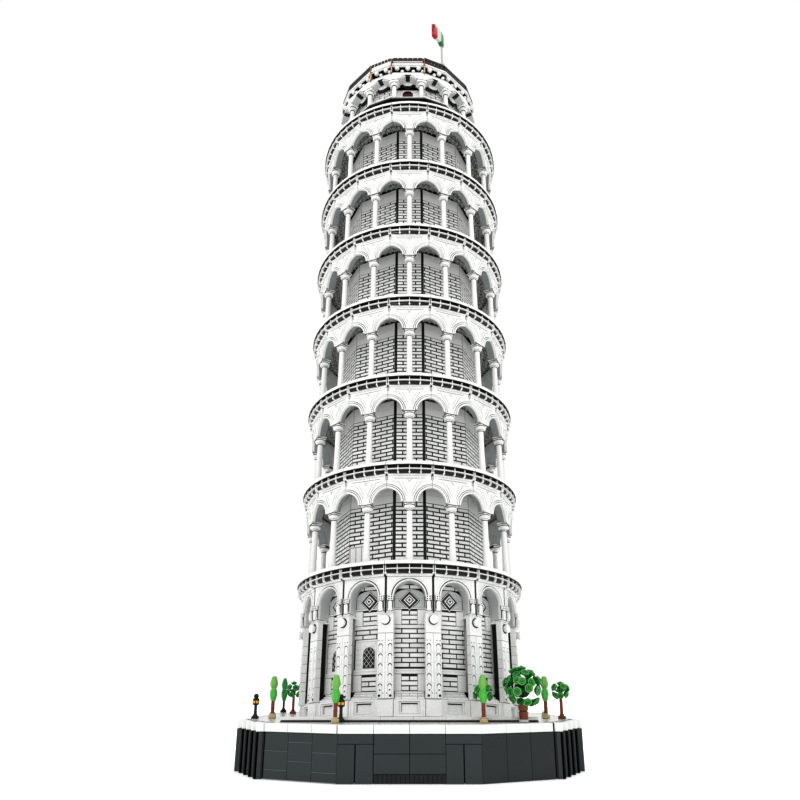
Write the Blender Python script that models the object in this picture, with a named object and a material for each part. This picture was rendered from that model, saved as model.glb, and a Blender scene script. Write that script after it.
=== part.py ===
"""A model of a leaning round bell tower, built up from toy building bricks.

The base is a hollow plinth with a paved top.  A tilted slab in it carries a tower of sixteen bays:
a ground storey with blind arches, six open galleries and a bell crown with a flag.  All lengths are
in metres.  The world origin is the centre of the base's underside, and the front faces -Y.
"""

import math

import bmesh
import bpy
from mathutils import Matrix, Vector

# ---------------------------------------------------------------- driving dimensions
STUD = 0.008
PLATE = 0.0032
BRICK = 0.0096
GAP = 0.0003

BASE_WIDTH = 44 * STUD
BASE_DEPTH = 50 * STUD
BASE_HEIGHT = 6 * STUD
RIM_HEIGHT = STUD
FRONT_HALF = 8 * STUD
PANEL_HALF = 4 * STUD
PANEL_THICK = 0.0016
SLOPE_RUN = 9 * STUD
SLOPE_RISE = 4.5 * STUD
CORNER_STEPS = 4
STEP_RUN = STUD
STEP_DEPTH = 2 * STUD
WALL_THICK = 1.5 * STUD

BAYS = 16
BAY_ANGLE = 2 * math.pi / BAYS
LEAN = math.radians(5.5)
TOWER_Y = -3 * STUD

SLAB_HALF = 15.5 * STUD
SLAB_BOTTOM = -0.0136
SLAB_LAYER = 0.00305
FOOT_TOP = -0.0072
PLINTH_TOP = 0.0091
LEDGE_TOP = 0.0174

FIRST_CORNICE = 0.1448
STOREY = 35 * PLATE
GALLERIES = 6
CORNICE_HEIGHT = 0.0152
CORNICE_RADIUS = 0.1349
FLOOR_INNER = 0.084

GALLERY_FACE = 0.1265
GALLERY_BACK = 0.1145
GALLERY_ARCH = 0.016
GALLERY_SPRING = 0.0455
SHAFT_RADIUS = 0.0035
CAPITAL_DROP = 0.008

GROUND_FACE = 0.124
GROUND_WALL = 0.108
GROUND_ARCH = 0.0163
GROUND_SPRING = 0.109

CORE_NEAR = 0.017
CORE_MID = 0.069
CORE_FAR = 0.095
CORE_THICKNESS = 0.0065

CROWN_RADIUS = 0.110
CROWN_HALF_ANGLE = math.radians(13.5)
CROWN_ARCH = 0.0137
CROWN_SPRING = 0.892
CROWN_BAND_TOP = 0.9095
CROWN_TOP = 0.950

BAR_RADIUS = 0.0016
RUNNING_BORE = 0.00168
FINE_SIDES = 24

MAST_PLACE = (0.0513, -0.0876)
MAST_HEIGHT = 0.0785
FLAG_LENGTH = 3 * STUD
FLAG_HEIGHT = 0.0254
FLAG_BOTTOM = 0.9980
FLAG_THICKNESS = 0.0072
FLAG_SLEEVE = 0.0040
FLAG_HEADING = math.radians(235)

CORNICE_TOPS = [FIRST_CORNICE + STOREY * level for level in range(GALLERIES + 1)]
CROWN_BOTTOM = CORNICE_TOPS[-1] + GAP


# ---------------------------------------------------------------- materials
def make_material(name, colour, roughness, metallic=0.0):
    material = bpy.data.materials.new(name)
    material.use_nodes = True
    shader = material.node_tree.nodes["Principled BSDF"]
    shader.inputs["Base Color"].default_value = (*colour, 1.0)
    shader.inputs["Roughness"].default_value = roughness
    shader.inputs["Metallic"].default_value = metallic
    return material


def make_materials():
    colours = {
        "white": (0.88, 0.88, 0.86),
        "light_grey": (0.55, 0.57, 0.58),
        "dark_grey": (0.075, 0.095, 0.105),
        "black": (0.012, 0.013, 0.015),
        "lime": (0.16, 0.55, 0.11),
        "green": (0.01, 0.26, 0.04),
        "brown": (0.24, 0.07, 0.03),
        "flag_green": (0.02, 0.36, 0.10),
    }
    return {name: make_material(name, colour, 0.25) for name, colour in colours.items()}


# ---------------------------------------------------------------- solids
def finish(name, mesh_builder, material, parent=None, place=(0.0, 0.0, 0.0)):
    """Turns a bmesh into a named object with outward faces."""
    bmesh.ops.recalc_face_normals(mesh_builder, faces=mesh_builder.faces)
    mesh = bpy.data.meshes.new(name)
    mesh_builder.to_mesh(mesh)
    mesh_builder.free()
    mesh.materials.append(material)
    made = bpy.data.objects.new(name, mesh)
    bpy.context.scene.collection.objects.link(made)
    made.parent = parent
    made.location = place
    return made


def add_rings(builder, rings, closed):
    """Adds the rings' vertices and the walls between them.  A closed stack of rings is a tube."""
    made = [[builder.verts.new(point) for point in ring] for ring in rings]
    count = len(rings[0])
    last = len(made) if closed else len(made) - 1
    for level in range(last):
        lower = made[level]
        upper = made[(level + 1) % len(made)]
        for side in range(count):
            after = (side + 1) % count
            builder.faces.new((lower[side], lower[after], upper[after], upper[side]))
    if not closed:
        builder.faces.new(made[0][::-1])
        builder.faces.new(made[-1])
    return made


def stack_solid(name, rings, material, parent=None, place=(0.0, 0.0, 0.0)):
    builder = bmesh.new()
    add_rings(builder, rings, closed=False)
    return finish(name, builder, material, parent, place)


def tube_solid(name, rings, material, parent=None):
    builder = bmesh.new()
    add_rings(builder, rings, closed=True)
    return finish(name, builder, material, parent)


def at_height(outline, height):
    return [(x, y, height) for x, y in outline]


def prism(name, outline, bottom, top, material, parent=None):
    rings = [at_height(outline, bottom), at_height(outline, top)]
    return stack_solid(name, rings, material, parent)


def holed_plate(name, outline, hole, bottom, top, material, parent=None):
    """A flat plate with one opening of any outline."""
    builder = bmesh.new()
    edges = []
    for loop in (outline, hole):
        corners = [builder.verts.new((x, y, bottom)) for x, y in loop]
        for index, corner in enumerate(corners):
            edges.append(builder.edges.new((corner, corners[(index + 1) % len(corners)])))
    bmesh.ops.triangle_fill(builder, edges=edges, use_beauty=True)
    raised = bmesh.ops.extrude_face_region(builder, geom=builder.faces[:])["geom"]
    lifted = [item for item in raised if isinstance(item, bmesh.types.BMVert)]
    bmesh.ops.translate(builder, verts=lifted, vec=(0, 0, top - bottom))
    return finish(name, builder, material, parent)


def turned(name, profile, sides, material, parent=None, place=(0.0, 0.0, 0.0)):
    """A turned piece from (radius, height) pairs, bottom to top."""
    rings = []
    for radius, height in profile:
        angles = [2 * math.pi * (side + 0.5) / sides for side in range(sides)]
        rings.append([(radius * math.cos(a), radius * math.sin(a), height) for a in angles])
    made = stack_solid(name, rings, material, parent, place)
    made.data.shade_smooth()
    made.data.set_sharp_from_angle(angle=math.radians(40))
    return made


# ---------------------------------------------------------------- outlines
def mirrored_all_round(quarter):
    """Repeats a front-right run of points over the four corners of a symmetric outline."""
    right = quarter + [(x, -y) for x, y in reversed(quarter)]
    return right + [(-x, y) for x, y in reversed(right)]


def stepped_outline(niche_depth):
    """The base's outer outline: a flat front, a slanted stretch and a stepped corner.

    A niche of the given depth, for a panel, can lie in the middle of the front and the back.
    """
    front = -BASE_DEPTH / 2
    shoulder = front + SLOPE_RISE
    points = []
    if niche_depth:
        points += [(PANEL_HALF, front + niche_depth), (PANEL_HALF, front)]
    points += [(FRONT_HALF, front), (FRONT_HALF + SLOPE_RUN, shoulder)]
    edge = FRONT_HALF + SLOPE_RUN + STUD
    points.append((edge, shoulder))
    for step in range(CORNER_STEPS):
        depth = shoulder + STEP_DEPTH * (step + 1)
        points.append((edge + STEP_RUN * step, depth))
        points.append((edge + STEP_RUN * (step + 1), depth))
    return mirrored_all_round(points)


def smooth_outline(inset):
    """The same outline without its steps, moved inwards by inset."""
    front = -BASE_DEPTH / 2
    side = BASE_WIDTH / 2
    shoulder = (FRONT_HALF + SLOPE_RUN, front + SLOPE_RISE)
    side_start = (side, shoulder[1] + 2 * (side - shoulder[0]))
    corners = mirrored_all_round([(FRONT_HALF, front), shoulder, side_start])
    lines = []
    for index, start in enumerate(corners):
        end = corners[(index + 1) % len(corners)]
        along = (Vector(end) - Vector(start)).normalized()
        inward = Vector((-along.y, along.x))
        lines.append((Vector(start) + inward * inset, along))
    moved = []
    for index, (point, along) in enumerate(lines):
        other, other_along = lines[index - 1]
        cross = along.x * other_along.y - along.y * other_along.x
        offset = other - point
        reach = (offset.x * other_along.y - offset.y * other_along.x) / cross
        moved.append(tuple(point + along * reach))
    return moved


def rectangle(half_x, low_y, high_y):
    return [(half_x, low_y), (half_x, high_y), (-half_x, high_y), (-half_x, low_y)]


def bay_corners(apothem):
    """Corners of the sixteen-sided plan whose first side faces the front."""
    radius = apothem / math.cos(BAY_ANGLE / 2)
    corners = []
    for bay in range(BAYS):
        angle = BAY_ANGLE * (bay + 0.5)
        corners.append((radius * math.sin(angle), -radius * math.cos(angle)))
    return corners


def round_plan(radius):
    """A round plan with two sides in each bay."""
    angles = [BAY_ANGLE * step / 2 for step in range(2 * BAYS)]
    return [(radius * math.sin(angle), -radius * math.cos(angle)) for angle in angles]


def pier_plan(pier_apothem, pier_half, field_apothem, field_half):
    """A plan with a pier at each corner of the bays and a flat field in each bay."""
    plan = []
    for bay in range(BAYS):
        pier_angle = BAY_ANGLE * (bay - 0.5)
        field_angle = BAY_ANGLE * bay
        plan.append(face_point(pier_apothem, -pier_half, pier_angle))
        plan.append(face_point(pier_apothem, pier_half, pier_angle))
        plan.append(face_point(field_apothem, -field_half, field_angle))
        plan.append(face_point(field_apothem, field_half, field_angle))
    return plan


def face_point(apothem, along, angle):
    """A point on a face that looks outwards at the angle, which is 0 at the front."""
    x = apothem * math.sin(angle) + along * math.cos(angle)
    y = -apothem * math.cos(angle) + along * math.sin(angle)
    return (x, y)


def core_plan(inset=0.0):
    """The twelve-sided plan of the inner wall: narrow sides to the four quarters."""
    shrink = 1 - inset / CORE_FAR
    quarter = [(CORE_NEAR, -CORE_FAR), (CORE_MID, -CORE_MID), (CORE_FAR, -CORE_NEAR)]
    return [(x * shrink, y * shrink) for x, y in mirrored_all_round(quarter)]


def crown_plan(radius):
    """Sixteen corners in pairs, so that wide and narrow sides take turns."""
    plan = []
    for side in range(8):
        middle = math.pi / 4 * side
        for angle in (middle - CROWN_HALF_ANGLE, middle + CROWN_HALF_ANGLE):
            plan.append((radius * math.sin(angle), -radius * math.cos(angle)))
    return plan


# ---------------------------------------------------------------- base
def make_base(colours):
    top = BASE_HEIGHT
    walls_top = top - RIM_HEIGHT
    holes = {"wall": smooth_outline(WALL_THICK), "rim": smooth_outline(STUD)}
    inner_rim = smooth_outline(STUD + GAP)
    half = SLAB_HALF + 0.0006
    well = rectangle(half, TOWER_Y - half - 0.0011, TOWER_Y + half)
    niche = stepped_outline(PANEL_THICK + GAP)
    outline = stepped_outline(0)
    holed_plate("base_walls", niche, holes["wall"], 0, walls_top, colours["dark_grey"])
    bottom = smooth_outline(WALL_THICK + GAP)
    prism("base_bottom_plate", bottom, 0, PLATE, colours["black"])
    rim_bottom = walls_top + GAP
    holed_plate("base_rim", outline, holes["rim"], rim_bottom, top, colours["white"])
    holed_plate("base_paving", inner_rim, well, rim_bottom, top, colours["light_grey"])
    front = -BASE_DEPTH / 2
    panel = rectangle(PANEL_HALF - GAP, front, front + PANEL_THICK)
    prism("front_panel", panel, 0, walls_top, colours["dark_grey"])


def make_cradle(colours):
    """Two wedge rails on crossbars: the slab lies on their slanting top."""
    outer = 13.5 * STUD
    inner = 12 * STUD
    low = PLATE + GAP
    builder = bmesh.new()
    seat = SLAB_BOTTOM - GAP

    def seat_height(y):
        return BASE_HEIGHT + seat / math.cos(LEAN) - (y - TOWER_Y) * math.tan(LEAN)

    outer_loop = rectangle(outer, TOWER_Y - outer, TOWER_Y + outer)
    inner_loop = rectangle(inner, TOWER_Y - inner, TOWER_Y + inner)
    rings = [at_height(outer_loop, low)]
    rings.append([(x, y, seat_height(y)) for x, y in outer_loop])
    rings.append([(x, y, seat_height(y)) for x, y in inner_loop])
    rings.append(at_height(inner_loop, low))
    add_rings(builder, rings, closed=True)
    finish("tilt_cradle", builder, colours["black"])


# ---------------------------------------------------------------- tower
def make_tower_frame():
    """The tilted frame of the tower: its Z axis is the tower's own axis."""
    frame = bpy.data.objects.new("tower_frame", None)
    bpy.context.scene.collection.objects.link(frame)
    frame.location = (0, TOWER_Y, BASE_HEIGHT)
    frame.rotation_euler = (-LEAN, 0, 0)
    return frame


def ring_tube(name, plan_at, profile, material, frame):
    """A ring whose section is a list of (apothem, height), over any plan of that apothem."""
    rings = [at_height(plan_at(apothem), height) for apothem, height in profile]
    return tube_solid(name, rings, material, frame)


def plain_ring(name, plan_at, outer, inner, bottom, top, material, frame):
    section = [(outer, bottom), (outer, top), (inner, top), (inner, bottom)]
    return ring_tube(name, plan_at, section, material, frame)


def make_foot(colours, frame):
    slab = rectangle(SLAB_HALF, -SLAB_HALF, SLAB_HALF)
    lower_top = SLAB_BOTTOM + SLAB_LAYER
    upper_bottom = lower_top + GAP
    prism("foot_slab_lower", slab, SLAB_BOTTOM, lower_top, colours["black"], frame)
    prism("foot_slab_upper", slab, upper_bottom, FOOT_TOP, colours["white"], frame)

    def plinth_at(apothem):
        return pier_plan(apothem, 0.0082, apothem - 0.0035, 0.0150)

    plinth_bottom = FOOT_TOP + GAP
    plain_ring(
        "plinth_course", plinth_at, 0.1233, 0.101, plinth_bottom, PLINTH_TOP, colours["white"], frame
    )

    def ledge_at(apothem):
        pier = min(apothem, GROUND_WALL - 0.001)
        return pier_plan(pier, 0.0095, apothem, 0.0125)

    low = PLINTH_TOP + GAP
    section = [(0.117, low), (0.117, low + 0.003), (0.112, low + 0.004), (0.112, LEDGE_TOP)]
    section += [(0.101, LEDGE_TOP), (0.101, low)]
    ring_tube("ledge_course", ledge_at, section, colours["white"], frame)


def polygon_radius(apothem, angle):
    """Distance from the axis to the sixteen-sided plan in the given direction."""
    nearest = round(angle / BAY_ANGLE) * BAY_ANGLE
    return apothem / math.cos(angle - nearest)


def arch_curve(half_width, steps):
    """(along, rise) pairs of a half-round arch, left to right."""
    angles = [math.pi * (1 - step / steps) for step in range(steps + 1)]
    return [(half_width * math.cos(a), half_width * math.sin(a)) for a in angles]


def arcade_solid(name, face, back, curve, phase, heights, leg_section, material, frame):
    """An arcade: a ring cut by one arch in each bay, on legs.

    curve is the arch's (along, rise) line.  phase is the first arch's angle.  heights is
    (springing, top, foot).  leg_section gives a leg's rings below the springing as
    (radius or None, height), where None keeps the leg's full block section.
    """
    springing, top, foot = heights
    middle = (face + back) / 2
    builder = bmesh.new()
    columns = []
    for bay in range(BAYS):
        arch_angle = phase + BAY_ANGLE * bay
        places = [(arch_angle + along / middle, rise) for along, rise in curve]
        places.append((arch_angle + BAY_ANGLE / 2, 0.0))
        for angle, rise in places:
            outer = polygon_radius(face, angle)
            inner = polygon_radius(back, angle)
            low = springing + rise
            corners = []
            for radius, height in ((outer, top), (outer, low), (inner, low), (inner, top)):
                point = (radius * math.sin(angle), -radius * math.cos(angle), height)
                corners.append(builder.verts.new(point))
            columns.append(corners)
    per_bay = len(curve) + 1
    for index, corners in enumerate(columns):
        after = columns[(index + 1) % len(columns)]
        place = index % per_bay
        for side in range(4):
            if side == 1 and place >= per_bay - 2:
                continue
            other = (side + 1) % 4
            quad = (corners[side], after[side], after[other], corners[other])
            builder.faces.new(quad)
    for bay in range(BAYS):
        start = bay * per_bay + per_bay - 2
        trio = [columns[(start + step) % len(columns)] for step in range(3)]
        loop = [trio[0][1], trio[1][1], trio[2][1], trio[2][2], trio[1][2], trio[0][2]]
        leg_angle = phase + BAY_ANGLE * (bay + 0.5)
        centre = Vector((middle * math.sin(leg_angle), -middle * math.cos(leg_angle), 0))
        add_leg(builder, loop, leg_angle, centre, leg_section)
    return finish(name, builder, material, frame)


def add_leg(builder, loop, angle, centre, section):
    """Hangs a leg of six sides below a loop of six vertices, and closes its foot."""
    outward = Vector((math.sin(angle), -math.cos(angle), 0))
    sideways = Vector((math.cos(angle), math.sin(angle), 0))
    turns = [math.radians(degrees) for degrees in (150, 90, 30, -30, -90, -150)]
    block = [vertex.co.copy() for vertex in loop]
    for radius, height in section:
        ring = []
        for corner, turn in zip(block, turns):
            if radius is None:
                point = Vector((corner.x, corner.y, height))
            else:
                spread = sideways * math.cos(turn) + outward * math.sin(turn)
                point = centre + spread * radius
                point.z = height
            ring.append(builder.verts.new(point))
        for side in range(6):
            after = (side + 1) % 6
            builder.faces.new((loop[side], loop[after], ring[after], ring[side]))
        loop = ring
    builder.faces.new(loop)


def make_ground_storey(colours, frame):
    ceiling = FIRST_CORNICE - CORNICE_HEIGHT - GAP
    wall_bottom = LEDGE_TOP + GAP
    plain_ring(
        "ground_wall", bay_corners, GROUND_WALL, 0.101, wall_bottom, ceiling, colours["white"], frame
    )
    foot = PLINTH_TOP + GAP
    arcade_solid(
        "ground_arcade",
        GROUND_FACE,
        GROUND_WALL + GAP,
        arch_curve(GROUND_ARCH, 6),
        0.0,
        (GROUND_SPRING, ceiling, foot),
        [(None, foot)],
        colours["white"],
        frame,
    )
    for name, bay in (("window_left", -1), ("window_far_left", -2)):
        make_window(name, bay * BAY_ANGLE, colours["black"], frame)


def make_window(name, angle, material, frame):
    """A lattice window with a half-round head, in front of the ground wall."""
    half = 0.0065
    sill = 0.0395
    springing = 0.0540
    outline = [(half, sill)]
    outline += [(along, springing + rise) for along, rise in reversed(arch_curve(half, 6))]
    outline.append((-half, sill))
    rings = []
    for apothem in (GROUND_WALL + GAP, GROUND_WALL + 0.0014):
        rings.append([(*face_point(apothem, along, angle), height) for along, height in outline])
    stack_solid(name, rings, material, frame)


def make_cornice(level, colours, frame):
    """A ring with two grooves below its rim: the gallery's floor and the ceiling below."""
    top = CORNICE_TOPS[level]
    steps = [(0.1280, -CORNICE_HEIGHT), (0.1280, -0.0129), (0.1308, -0.0129)]
    steps += [(0.1308, -0.0094), (0.1333, -0.0094), (0.1333, -0.0086)]
    steps += [(0.1308, -0.0086), (0.1308, -0.0056)]
    steps += [(CORNICE_RADIUS, -0.0056), (CORNICE_RADIUS, 0.0)]
    steps += [(FLOOR_INNER, 0.0), (FLOOR_INNER, -CORNICE_HEIGHT)]
    section = [(radius, top + drop) for radius, drop in steps]
    name = "cornice_%d" % (level + 1)
    ring_tube(name, round_plan, section, colours["white"], frame)


def make_gallery(level, colours, frame):
    floor = CORNICE_TOPS[level] + GAP
    next_top = CORNICE_TOPS[level + 1]
    ceiling = next_top - CORNICE_HEIGHT - GAP
    springing = next_top - GALLERY_SPRING
    arcade_solid(
        "arcade_%d" % (level + 2),
        GALLERY_FACE,
        GALLERY_BACK,
        arch_curve(GALLERY_ARCH, 4),
        BAY_ANGLE / 2,
        (springing, ceiling, floor),
        [(SHAFT_RADIUS, springing - CAPITAL_DROP), (SHAFT_RADIUS, floor)],
        colours["white"],
        frame,
    )
    section = [(0, floor), (0, ceiling), (CORE_THICKNESS, ceiling), (CORE_THICKNESS, floor)]
    ring_tube("core_wall_%d" % (level + 2), core_plan, section, colours["white"], frame)


def make_door(colours, frame):
    """The door panel on the second storey's inner wall, left of the front."""
    angle = math.atan2(CORE_FAR - CORE_MID, CORE_MID - CORE_NEAR)
    apothem = CORE_NEAR * math.sin(angle) + CORE_FAR * math.cos(angle)
    middle = -0.0170
    half = 0.0125
    bottom = CORNICE_TOPS[0] + GAP
    height = 0.031
    rings = []
    for away in (apothem + GAP, apothem + 0.002):
        ring = []
        for along, up in ((half, 0), (half, height), (-half, height), (-half, 0)):
            ring.append((*face_point(away, middle + along, -angle), bottom + up))
        rings.append(ring)
    stack_solid("gallery_door", rings, colours["light_grey"], frame)


def make_crown(colours, frame):
    white = colours["white"]
    ledge = 0.859
    rows = [
        ("crown_drum", 0.104, 0.090, CROWN_BOTTOM, 0.8546, colours["black"]),
        ("crown_ledge", 0.1085, 0.078, 0.8549, ledge, white),
        ("crown_wall", 0.093, 0.086, ledge + GAP, CROWN_BAND_TOP, white),
        ("crown_parapet", 0.106, 0.096, CROWN_BAND_TOP + GAP, 0.9283, colours["black"]),
        ("crown_rail", CROWN_RADIUS, 0.098, 0.9286, 0.9339, white),
        ("crown_battlement", 0.1085, 0.097, 0.9342, CROWN_TOP, colours["black"]),
    ]
    for name, outer, inner, bottom, top, material in rows:
        plain_ring(name, crown_plan, outer, inner, bottom, top, material, frame)
    prism("crown_deck", crown_plan(0.0955), 0.9225, 0.9257, colours["light_grey"], frame)
    gable = [(-CROWN_ARCH, 0.0), (-0.004, 0.0135), (0.004, 0.0135), (CROWN_ARCH, 0.0)]
    arcade_solid(
        "crown_arcade",
        0.1072,
        0.0962,
        gable,
        0.0,
        (CROWN_SPRING, CROWN_BAND_TOP, ledge + GAP),
        [(SHAFT_RADIUS, CROWN_SPRING - CAPITAL_DROP), (SHAFT_RADIUS, ledge + GAP)],
        white,
        frame,
    )


def circle(radius, sides):
    angles = [2 * math.pi * side / sides for side in range(sides)]
    return [(radius * math.cos(a), radius * math.sin(a)) for a in angles]


def flag_outline():
    """The plan of a stiff wavy flag: a round sleeve about the mast, and the flag along +X."""
    half = FLAG_THICKNESS / 2
    root = math.asin(half / FLAG_SLEEVE)
    outline = []
    sides = 12
    for step in range(sides + 1):
        angle = root + (2 * math.pi - 2 * root) * step / sides
        outline.append((FLAG_SLEEVE * math.cos(angle), FLAG_SLEEVE * math.sin(angle)))
    waves = 8
    far_side = []
    near_side = []
    for step in range(1, waves + 1):
        along = FLAG_SLEEVE + (FLAG_LENGTH - FLAG_SLEEVE) * step / waves
        sway = 0.0010 * math.sin(2 * math.pi * step / waves)
        far_side.append((along, sway - half))
        near_side.append((along, sway + half))
    return outline + far_side + near_side[::-1]


def make_flag(colours, frame):
    """A mast on the battlement, and the flag whose sleeve turns on it."""
    place = (*MAST_PLACE, CROWN_TOP + GAP)
    profile = [(0.004, 0), (0.004, PLATE), (BAR_RADIUS, PLATE), (BAR_RADIUS, MAST_HEIGHT)]
    turned("flag_mast", profile, FINE_SIDES, colours["light_grey"], frame, place)
    turn = Matrix.Rotation(FLAG_HEADING, 2)
    outline = [tuple(turn @ Vector(point)) for point in flag_outline()]
    bore = circle(RUNNING_BORE, FINE_SIDES)
    flag = holed_plate("flag", outline, bore, 0, FLAG_HEIGHT, colours["flag_green"], frame)
    flag.location = (*MAST_PLACE, FLAG_BOTTOM)


# ---------------------------------------------------------------- garden
TRUNK_TOP = 0.0260
FOLIAGE_BOTTOM = 0.0173
CYPRESS_HEIGHT = 0.0425


def make_cypress(name, x, y, colours):
    """A trunk bar on a round foot, with foliage that turns on the bar in a blind bore."""
    place = (x, y, BASE_HEIGHT + GAP)
    trunk = [(0.004, 0), (0.004, PLATE), (0.0019, PLATE), (0.0019, FOLIAGE_BOTTOM - GAP)]
    trunk += [(BAR_RADIUS, FOLIAGE_BOTTOM - GAP), (BAR_RADIUS, TRUNK_TOP)]
    turned(name + "_trunk", trunk, 16, colours["brown"], None, place)
    low = FOLIAGE_BOTTOM
    leaves = [(RUNNING_BORE, TRUNK_TOP + GAP), (RUNNING_BORE, low), (0.0026, low)]
    leaves += [(0.0042, low + 0.006), (0.0034, low + 0.0115), (0.0042, low + 0.0130)]
    leaves += [(0.0022, CYPRESS_HEIGHT)]
    turned(name + "_foliage", leaves, 16, colours["lime"], None, place)


def make_dark_cypress(colours):
    profile = [(0.004, 0), (0.004, PLATE), (0.0014, PLATE), (0.0014, 0.013)]
    profile += [(0.0040, 0.0220), (0.0040, 0.0250), (0.0028, 0.0286)]
    profile += [(0.0038, 0.0330), (0.0038, 0.0360), (0.0012, 0.0425)]
    place = (-0.1645, 0.108, BASE_HEIGHT + GAP)
    turned("dark_cypress", profile, 8, colours["green"], None, place)


def ball_profile(radius, centre, low, steps):
    """A ball's (radius, height) pairs, cut flat at the height low."""
    start = math.asin((low - centre) / radius)
    profile = []
    for step in range(steps + 1):
        angle = start + (math.radians(75) - start) * step / steps
        profile.append((radius * math.cos(angle), centre + radius * math.sin(angle)))
    return profile


def make_big_tree(colours):
    place = (0.1088, -0.155, BASE_HEIGHT + GAP)
    trunk = [(0.0048, 0), (0.0042, 0.009), (0.0046, 0.0155)]
    turned("big_tree_trunk", trunk, 10, colours["brown"], None, place)
    leaves = ball_profile(0.0188, 0.0305, 0.0158, 6)
    turned("big_tree_foliage", leaves, 10, colours["green"], None, place)


def make_small_tree(name, x, y, colours):
    trunk = [(0.004, 0), (0.004, PLATE), (0.0016, PLATE), (0.0016, 0.0195)]
    profile = trunk + ball_profile(0.0100, 0.0270, 0.0195, 4)
    turned(name, profile, 8, colours["green"], None, (x, y, BASE_HEIGHT + GAP))


def make_lamp(name, x, y, colours):
    profile = [(0.004, 0), (0.004, PLATE), (0.0016, PLATE), (0.0016, 0.0135)]
    profile += [(0.0030, 0.0135), (0.0034, 0.0190), (0.0030, 0.0215), (0.0010, 0.0245)]
    turned(name, profile, 8, colours["black"], None, (x, y, BASE_HEIGHT + GAP))


def make_garden(colours):
    make_cypress("cypress_front_left", -0.0694, -0.1695, colours)
    make_cypress("cypress_front_right", 0.0694, -0.1695, colours)
    make_cypress("cypress_left", -0.1460, -0.0720, colours)
    make_cypress("cypress_right", 0.1460, -0.0690, colours)
    make_dark_cypress(colours)
    make_big_tree(colours)
    make_small_tree("small_tree_right", 0.1585, -0.0900, colours)
    make_small_tree("small_tree_front", 0.0715, -0.1548, colours)
    make_small_tree("small_tree_back", -0.1460, 0.0560, colours)
    make_lamp("lamp_left", -0.1630, -0.0780, colours)
    make_lamp("lamp_front", -0.0655, -0.1545, colours)


def main():
    for old in list(bpy.data.objects):
        bpy.data.objects.remove(old, do_unlink=True)
    colours = make_materials()
    make_base(colours)
    make_cradle(colours)
    frame = make_tower_frame()
    make_foot(colours, frame)
    make_ground_storey(colours, frame)
    for level in range(GALLERIES + 1):
        make_cornice(level, colours, frame)
    for level in range(GALLERIES):
        make_gallery(level, colours, frame)
    make_door(colours, frame)
    make_crown(colours, frame)
    make_flag(colours, frame)
    make_garden(colours)
    bpy.context.view_layer.update()


main()
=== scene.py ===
"""Looks of the miniature leaning bell tower. Lengths in the shapes are millimetres."""

import math
import random

import bmesh
import bpy
from mathutils import Matrix, Vector


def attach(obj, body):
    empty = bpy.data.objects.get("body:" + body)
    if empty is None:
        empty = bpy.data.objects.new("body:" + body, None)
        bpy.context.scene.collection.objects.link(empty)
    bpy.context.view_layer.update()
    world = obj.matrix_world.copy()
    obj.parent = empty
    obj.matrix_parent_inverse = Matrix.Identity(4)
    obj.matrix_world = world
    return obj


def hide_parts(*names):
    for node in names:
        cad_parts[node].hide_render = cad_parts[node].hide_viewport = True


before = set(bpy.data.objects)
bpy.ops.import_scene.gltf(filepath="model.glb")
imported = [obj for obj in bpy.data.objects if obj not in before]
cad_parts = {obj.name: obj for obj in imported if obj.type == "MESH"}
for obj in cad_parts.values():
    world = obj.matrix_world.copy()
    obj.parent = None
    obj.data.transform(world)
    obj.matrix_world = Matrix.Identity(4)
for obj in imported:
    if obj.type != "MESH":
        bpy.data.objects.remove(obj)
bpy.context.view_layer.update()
rng = random.Random(11)

# ---------------------------------------------------------------- dimensions of the frame
BAYS = 16
TURN = 2 * math.pi / BAYS
TAN = math.tan(TURN / 2)
LEAN = math.radians(5.5)
BASE_TOP = 48.0
TOWER = Matrix.Translation((0, -24, BASE_TOP)) @ Matrix.Rotation(-LEAN, 4, "X")
WIDEN = Matrix.Diagonal((1.016, 1.016, 1.0, 1.0))
CROWN = TOWER @ Matrix.Translation((-2.6, 0, 0)) @ WIDEN @ TOWER.inverted()
CROWN_TOP = TOWER @ Matrix.Translation((-2.6, 0, -4.4)) @ WIDEN @ TOWER.inverted()
CORNICE_RADIUS = 134.9
ARCADE_REACH = 126.5
CORE_REACH = 95.0
GROUND_ARCH = 124
GROUND_WALL = 108.0
DRUM_RADIUS = 104
LEDGE_RADIUS = 108.5
BELL_WALL_RADIUS = 93
GABLE_REACH = 107.2
RAIL_RADIUS = 110.0
BATTLEMENT_RADIUS = 108.0
CORNICE_TOPS = [144.8 + 112.0 * level for level in range(7)]
MAIN = "model"


# ---------------------------------------------------------------- materials
def new_material(name):
    material = bpy.data.materials.new(name)
    material.use_nodes = True
    return material, material.node_tree.nodes, material.node_tree.links


def add_node(nodes, kind, **inputs):
    """A shader node with some of its inputs set; an underscore stands for a space."""
    node = nodes.new("ShaderNode" + kind)
    for socket, value in inputs.items():
        node.inputs[socket.replace("_", " ")].default_value = value
    return node


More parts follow.
